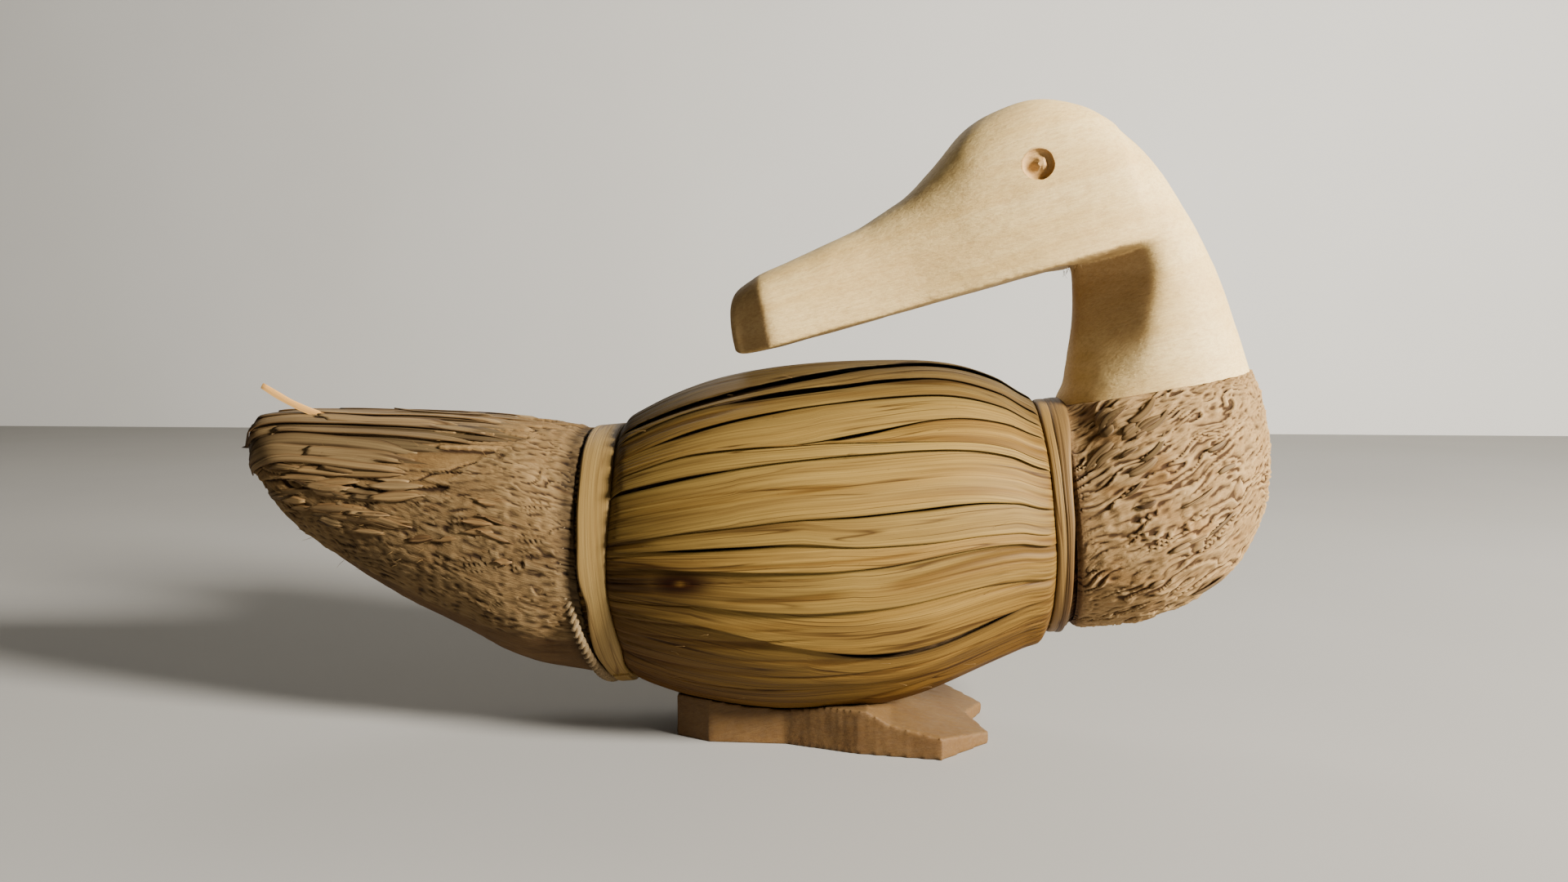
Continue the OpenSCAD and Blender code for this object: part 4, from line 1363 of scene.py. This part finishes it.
def neck_facet(points):
    """How far each point has to move in, to carve the flat facets at the back of the neck."""
    heights = [row[0] for row in NECK]
    middle = np.interp(points[:, 2], heights, [(row[1] + row[2]) / 2 for row in NECK])
    ridge = np.interp(points[:, 2], (110, 122, 142), (-12, -6.5, 0.5))
    carved = smoothstep(101, 126, points[:, 2]) * smoothstep(0.6, -0.8, on_jaw(points)[:, 2])
    carved = carved * smoothstep(-27, -24, points[:, 0] - middle)
    moves = np.zeros_like(points)
    for side in (-1, 1):
        normal = np.array([-0.588, side * 0.809, 0])
        beyond = (points[:, 0] - middle - ridge) * normal[0] + (points[:, 1] - side * 19.4) * normal[1]
        beyond = 1.1 * np.log1p(np.exp(np.clip(beyond / 1.1, -30, 30)))
        beyond = beyond * (side * points[:, 1] > 0) * (points[:, 0] < middle + 9) * carved
        moves += beyond[:, None] * normal
    return moves


def on_jaw(points):
    """Places measured from the bill's tip: along the jaw's flat underside, across it, above it."""
    return leaned(points - np.array([BILL_TIP[0], 0, BILL_TIP[1]]), JAW_ANGLE)


# ---------------------------------------------------------------- feet

def make_feet():
    """The feet block, from its CAD shape: sawn sides, edges worn round."""
    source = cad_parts["feet_block"]
    piece = link_object("webbed_feet", source.data.copy())
    piece.data.materials.clear()
    remesh(piece, 0.65)
    points = mesh_points(piece)
    soften(piece, np.ones(len(points)), 1)
    points, normals = mesh_points(piece), mesh_normals(piece)
    above_floor = smoothstep(0.2, 1.5, points[:, 2])
    saw = 0.06 * noise(points, (1.1, 1.1, 9), 171) + 0.14 * noise(points, (7, 7, 5), 170)
    level = np.abs(normals[:, 2])
    height = saw * (1 - level) + 0.12 * noise(points, (6, 1.2, 3), 172) * level
    set_mesh_points(piece, points + normals * (height * above_floor)[:, None])
    piece.data.materials.append(FEET_WOOD)
    piece.data.polygons.foreach_set("use_smooth", [True] * len(piece.data.polygons))
    points = mesh_points(piece)
    # Painted shade: the sides a little darker and browner than the top.
    tint = shaded(1, 1 - level, (0.05, 0.11, 0.19))
    edge_wear = smoothstep(0.1, 0.7, noise(points, (9, 9, 5), 175))
    paint(piece, "tint", shaded(tint, edge_wear, (0.05, 0.09, 0.14)))
    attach(piece, BODY)
    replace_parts(piece, "feet_block")


# ---------------------------------------------------------------- fibres

def fibre(start, direction, length, thickness, bend, rng):
    """A thin curved hair of leaf or wood."""
    rows = 6
    t = np.linspace(0, 1, rows)
    d = direction / max(np.linalg.norm(direction), 1e-9)
    sag = np.cross(d, rng.normal(size=3))
    sag = sag / max(np.linalg.norm(sag), 1e-9)
    other = np.cross(d, sag)
    line = start + d * (t * length)[:, None] + sag * (bend * length * t ** 2)[:, None]
    ring = [(math.cos(a), math.sin(a)) for a in (0, 2.094, 4.189)]
    half = thickness / 2 * (1 - 0.75 * t)
    points = np.array([[line[i] + half[i] * (p * sag + q * other) for p, q in ring] for i in range(rows)])
    return points.reshape(-1, 3), capped_tube_faces(rows, 3), np.zeros((rows * 3, 2))


def make_fibres():
    """Stray fibres: on the cut breast and tail, between the leaves, and at the corner of jaw and neck."""
    rng = np.random.default_rng(83)
    parts = []
    for _ in range(150):
        angle = rng.uniform(-60, 240)
        a = math.radians(angle)
        start = np.array([rng.uniform(106, 146), 0, 76.0])
        half = np.interp(start[0], [102, 134, 149, 158], [35.5, 34.5, 24.5, 9])
        tall = np.interp(start[0], [102, 134, 149, 158], [35.5, 34.5, 29, 13])
        start[1], start[2] = half * math.cos(a), 74.5 + 0.13 * (start[0] - 102) + tall * math.sin(a)
        if start[2] > 100:
            continue
        outward = np.array([0.35, math.cos(a), math.sin(a)]) + rng.normal(0, 0.5, 3)
        parts.append(fibre(start, outward, rng.uniform(1.2, 3.2), 0.16, rng.uniform(0.1, 0.5), rng))
    for _ in range(120):
        x = rng.uniform(-140, -55)
        reach = rng.choice([-1, 1]) * rng.uniform(20, 70)
        start = tail_line(np.array([x]), np.array([reach]), np.array([0.2]))[0]
        outward = np.array([rng.uniform(-1, 0.2), start[1] / 30, (start[2] - 65) / 40])
        outward = outward + rng.normal(0, 0.3, 3)
        parts.append(fibre(start, outward, rng.uniform(1.2, 3.6), 0.16, rng.uniform(0.1, 0.5), rng))
    for _ in range(14):
        start = np.array([rng.uniform(97.5, 100.5), rng.uniform(-17, 17), rng.uniform(143.4, 144.9)])
        parts.append(fibre(start, np.array([rng.uniform(-0.6, 0.3), rng.normal(0, 0.4), -1.0]),
                           rng.uniform(1.0, 2.6), 0.2, rng.uniform(0.2, 0.7), rng))
    for _ in range(26):
        u, angle = rng.uniform(10, 130), math.radians(rng.uniform(20, 150))
        start = on_body(u, float(barrel_radius(u)) + 0.7, angle)
        parts.append(fibre(start, np.array([rng.choice([-1, 1]), -0.25, 0.15]) + rng.normal(0, 0.12, 3),
                           rng.uniform(1.5, 5), 0.14, rng.uniform(0.05, 0.4), rng))
    points, faces, uv = merge(parts)
    piece = new_piece("stray_fibres", points, faces, PALE_LEAF)
    lay_uv(piece, uv)
    paint(piece, "tint", np.full((len(points), 3), 1.1))
    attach(piece, BODY)


# ---------------------------------------------------------------- stage

def make_camera():
    """The photograph's viewpoint: a wide phone lens, close and a little above the duck's back."""
    data = bpy.data.cameras.new("camera")
    data.lens = 27
    data.sensor_width = 36
    data.clip_start = 0.01
    camera = link_object("camera", data)
    turn, distance, height, aim_x = math.radians(5), 0.370, 0.1214, 0.012
    pitch = math.atan(1 / 12)           # it looks down one in twelve
    camera.location = (aim_x + distance * math.sin(turn), -distance * math.cos(turn), height)
    camera.rotation_euler = (math.pi / 2 - pitch, 0, turn)
    bpy.context.scene.camera = camera


def area_light(name, place, aim, size, power, colour):
    data = bpy.data.lights.new(name, "AREA")
    data.shape = "DISK"
    data.size = size
    data.energy = power
    data.color = colour
    light = link_object(name, data)
    light.location = place
    light.rotation_euler = (Vector(aim) - Vector(place)).to_track_quat("-Z", "Y").to_euler()


def stage_plane(name, corners, material):
    mesh = bpy.data.meshes.new(name)
    mesh.from_pydata(corners, [], [(0, 1, 2, 3)])
    mesh.materials.append(material)
    link_object(name, mesh)


def make_stage():
    """A plain floor and a wall well behind the duck, a low warm window light and two faint ones."""
    size, wall_y, wall_top = 3.0, 1.25, 2.4
    stage_plane("floor", [(-size, -size, 0), (size, -size, 0), (size, size, 0), (-size, size, 0)],
                stage_material("pale floor", 0.7, 0.2, 400, (0.33, 0.32, 0.30), (0.36, 0.35, 0.33)))
    stage_plane("wall", [(-size, wall_y, 0), (size, wall_y, 0), (size, wall_y, wall_top),
                         (-size, wall_y, wall_top)],
                stage_material("pale wall", 0.85, 0.1, 300, (0.68, 0.67, 0.64), (0.71, 0.70, 0.67)))
    world = bpy.data.worlds.new("studio")
    world.use_nodes = True
    sky = world.node_tree.nodes["Background"].inputs
    sky[0].default_value = (0.88, 0.84, 0.78, 1)
    sky[1].default_value = 0.03
    bpy.context.scene.world = world
    area_light("window", (1.36, -0.66, 0.72), (0.02, 0, 0.08), 0.36, 122, (1.0, 0.955, 0.88))
    area_light("far side", (-0.4, 1.0, 1.1), (-0.4, 0, 0.95), 0.5, 4, (1.0, 0.96, 0.9))
    area_light("room", (-0.6, -1.3, 0.9), (0, 0, 0.08), 1.4, 0.15, (1.0, 0.96, 0.9))


# ---------------------------------------------------------------- the whole duck

make_camera()
make_stage()
make_packing()
make_barrel()
make_bands()
make_cords()
make_tail_core()
make_tail_leaves()
make_tail_flakes()
make_splinter()
make_breast()
make_breast_leaves()
make_head()
make_feet()
make_fibres()
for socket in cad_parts["neck_dowel"].material_slots:
    socket.material = WOOD
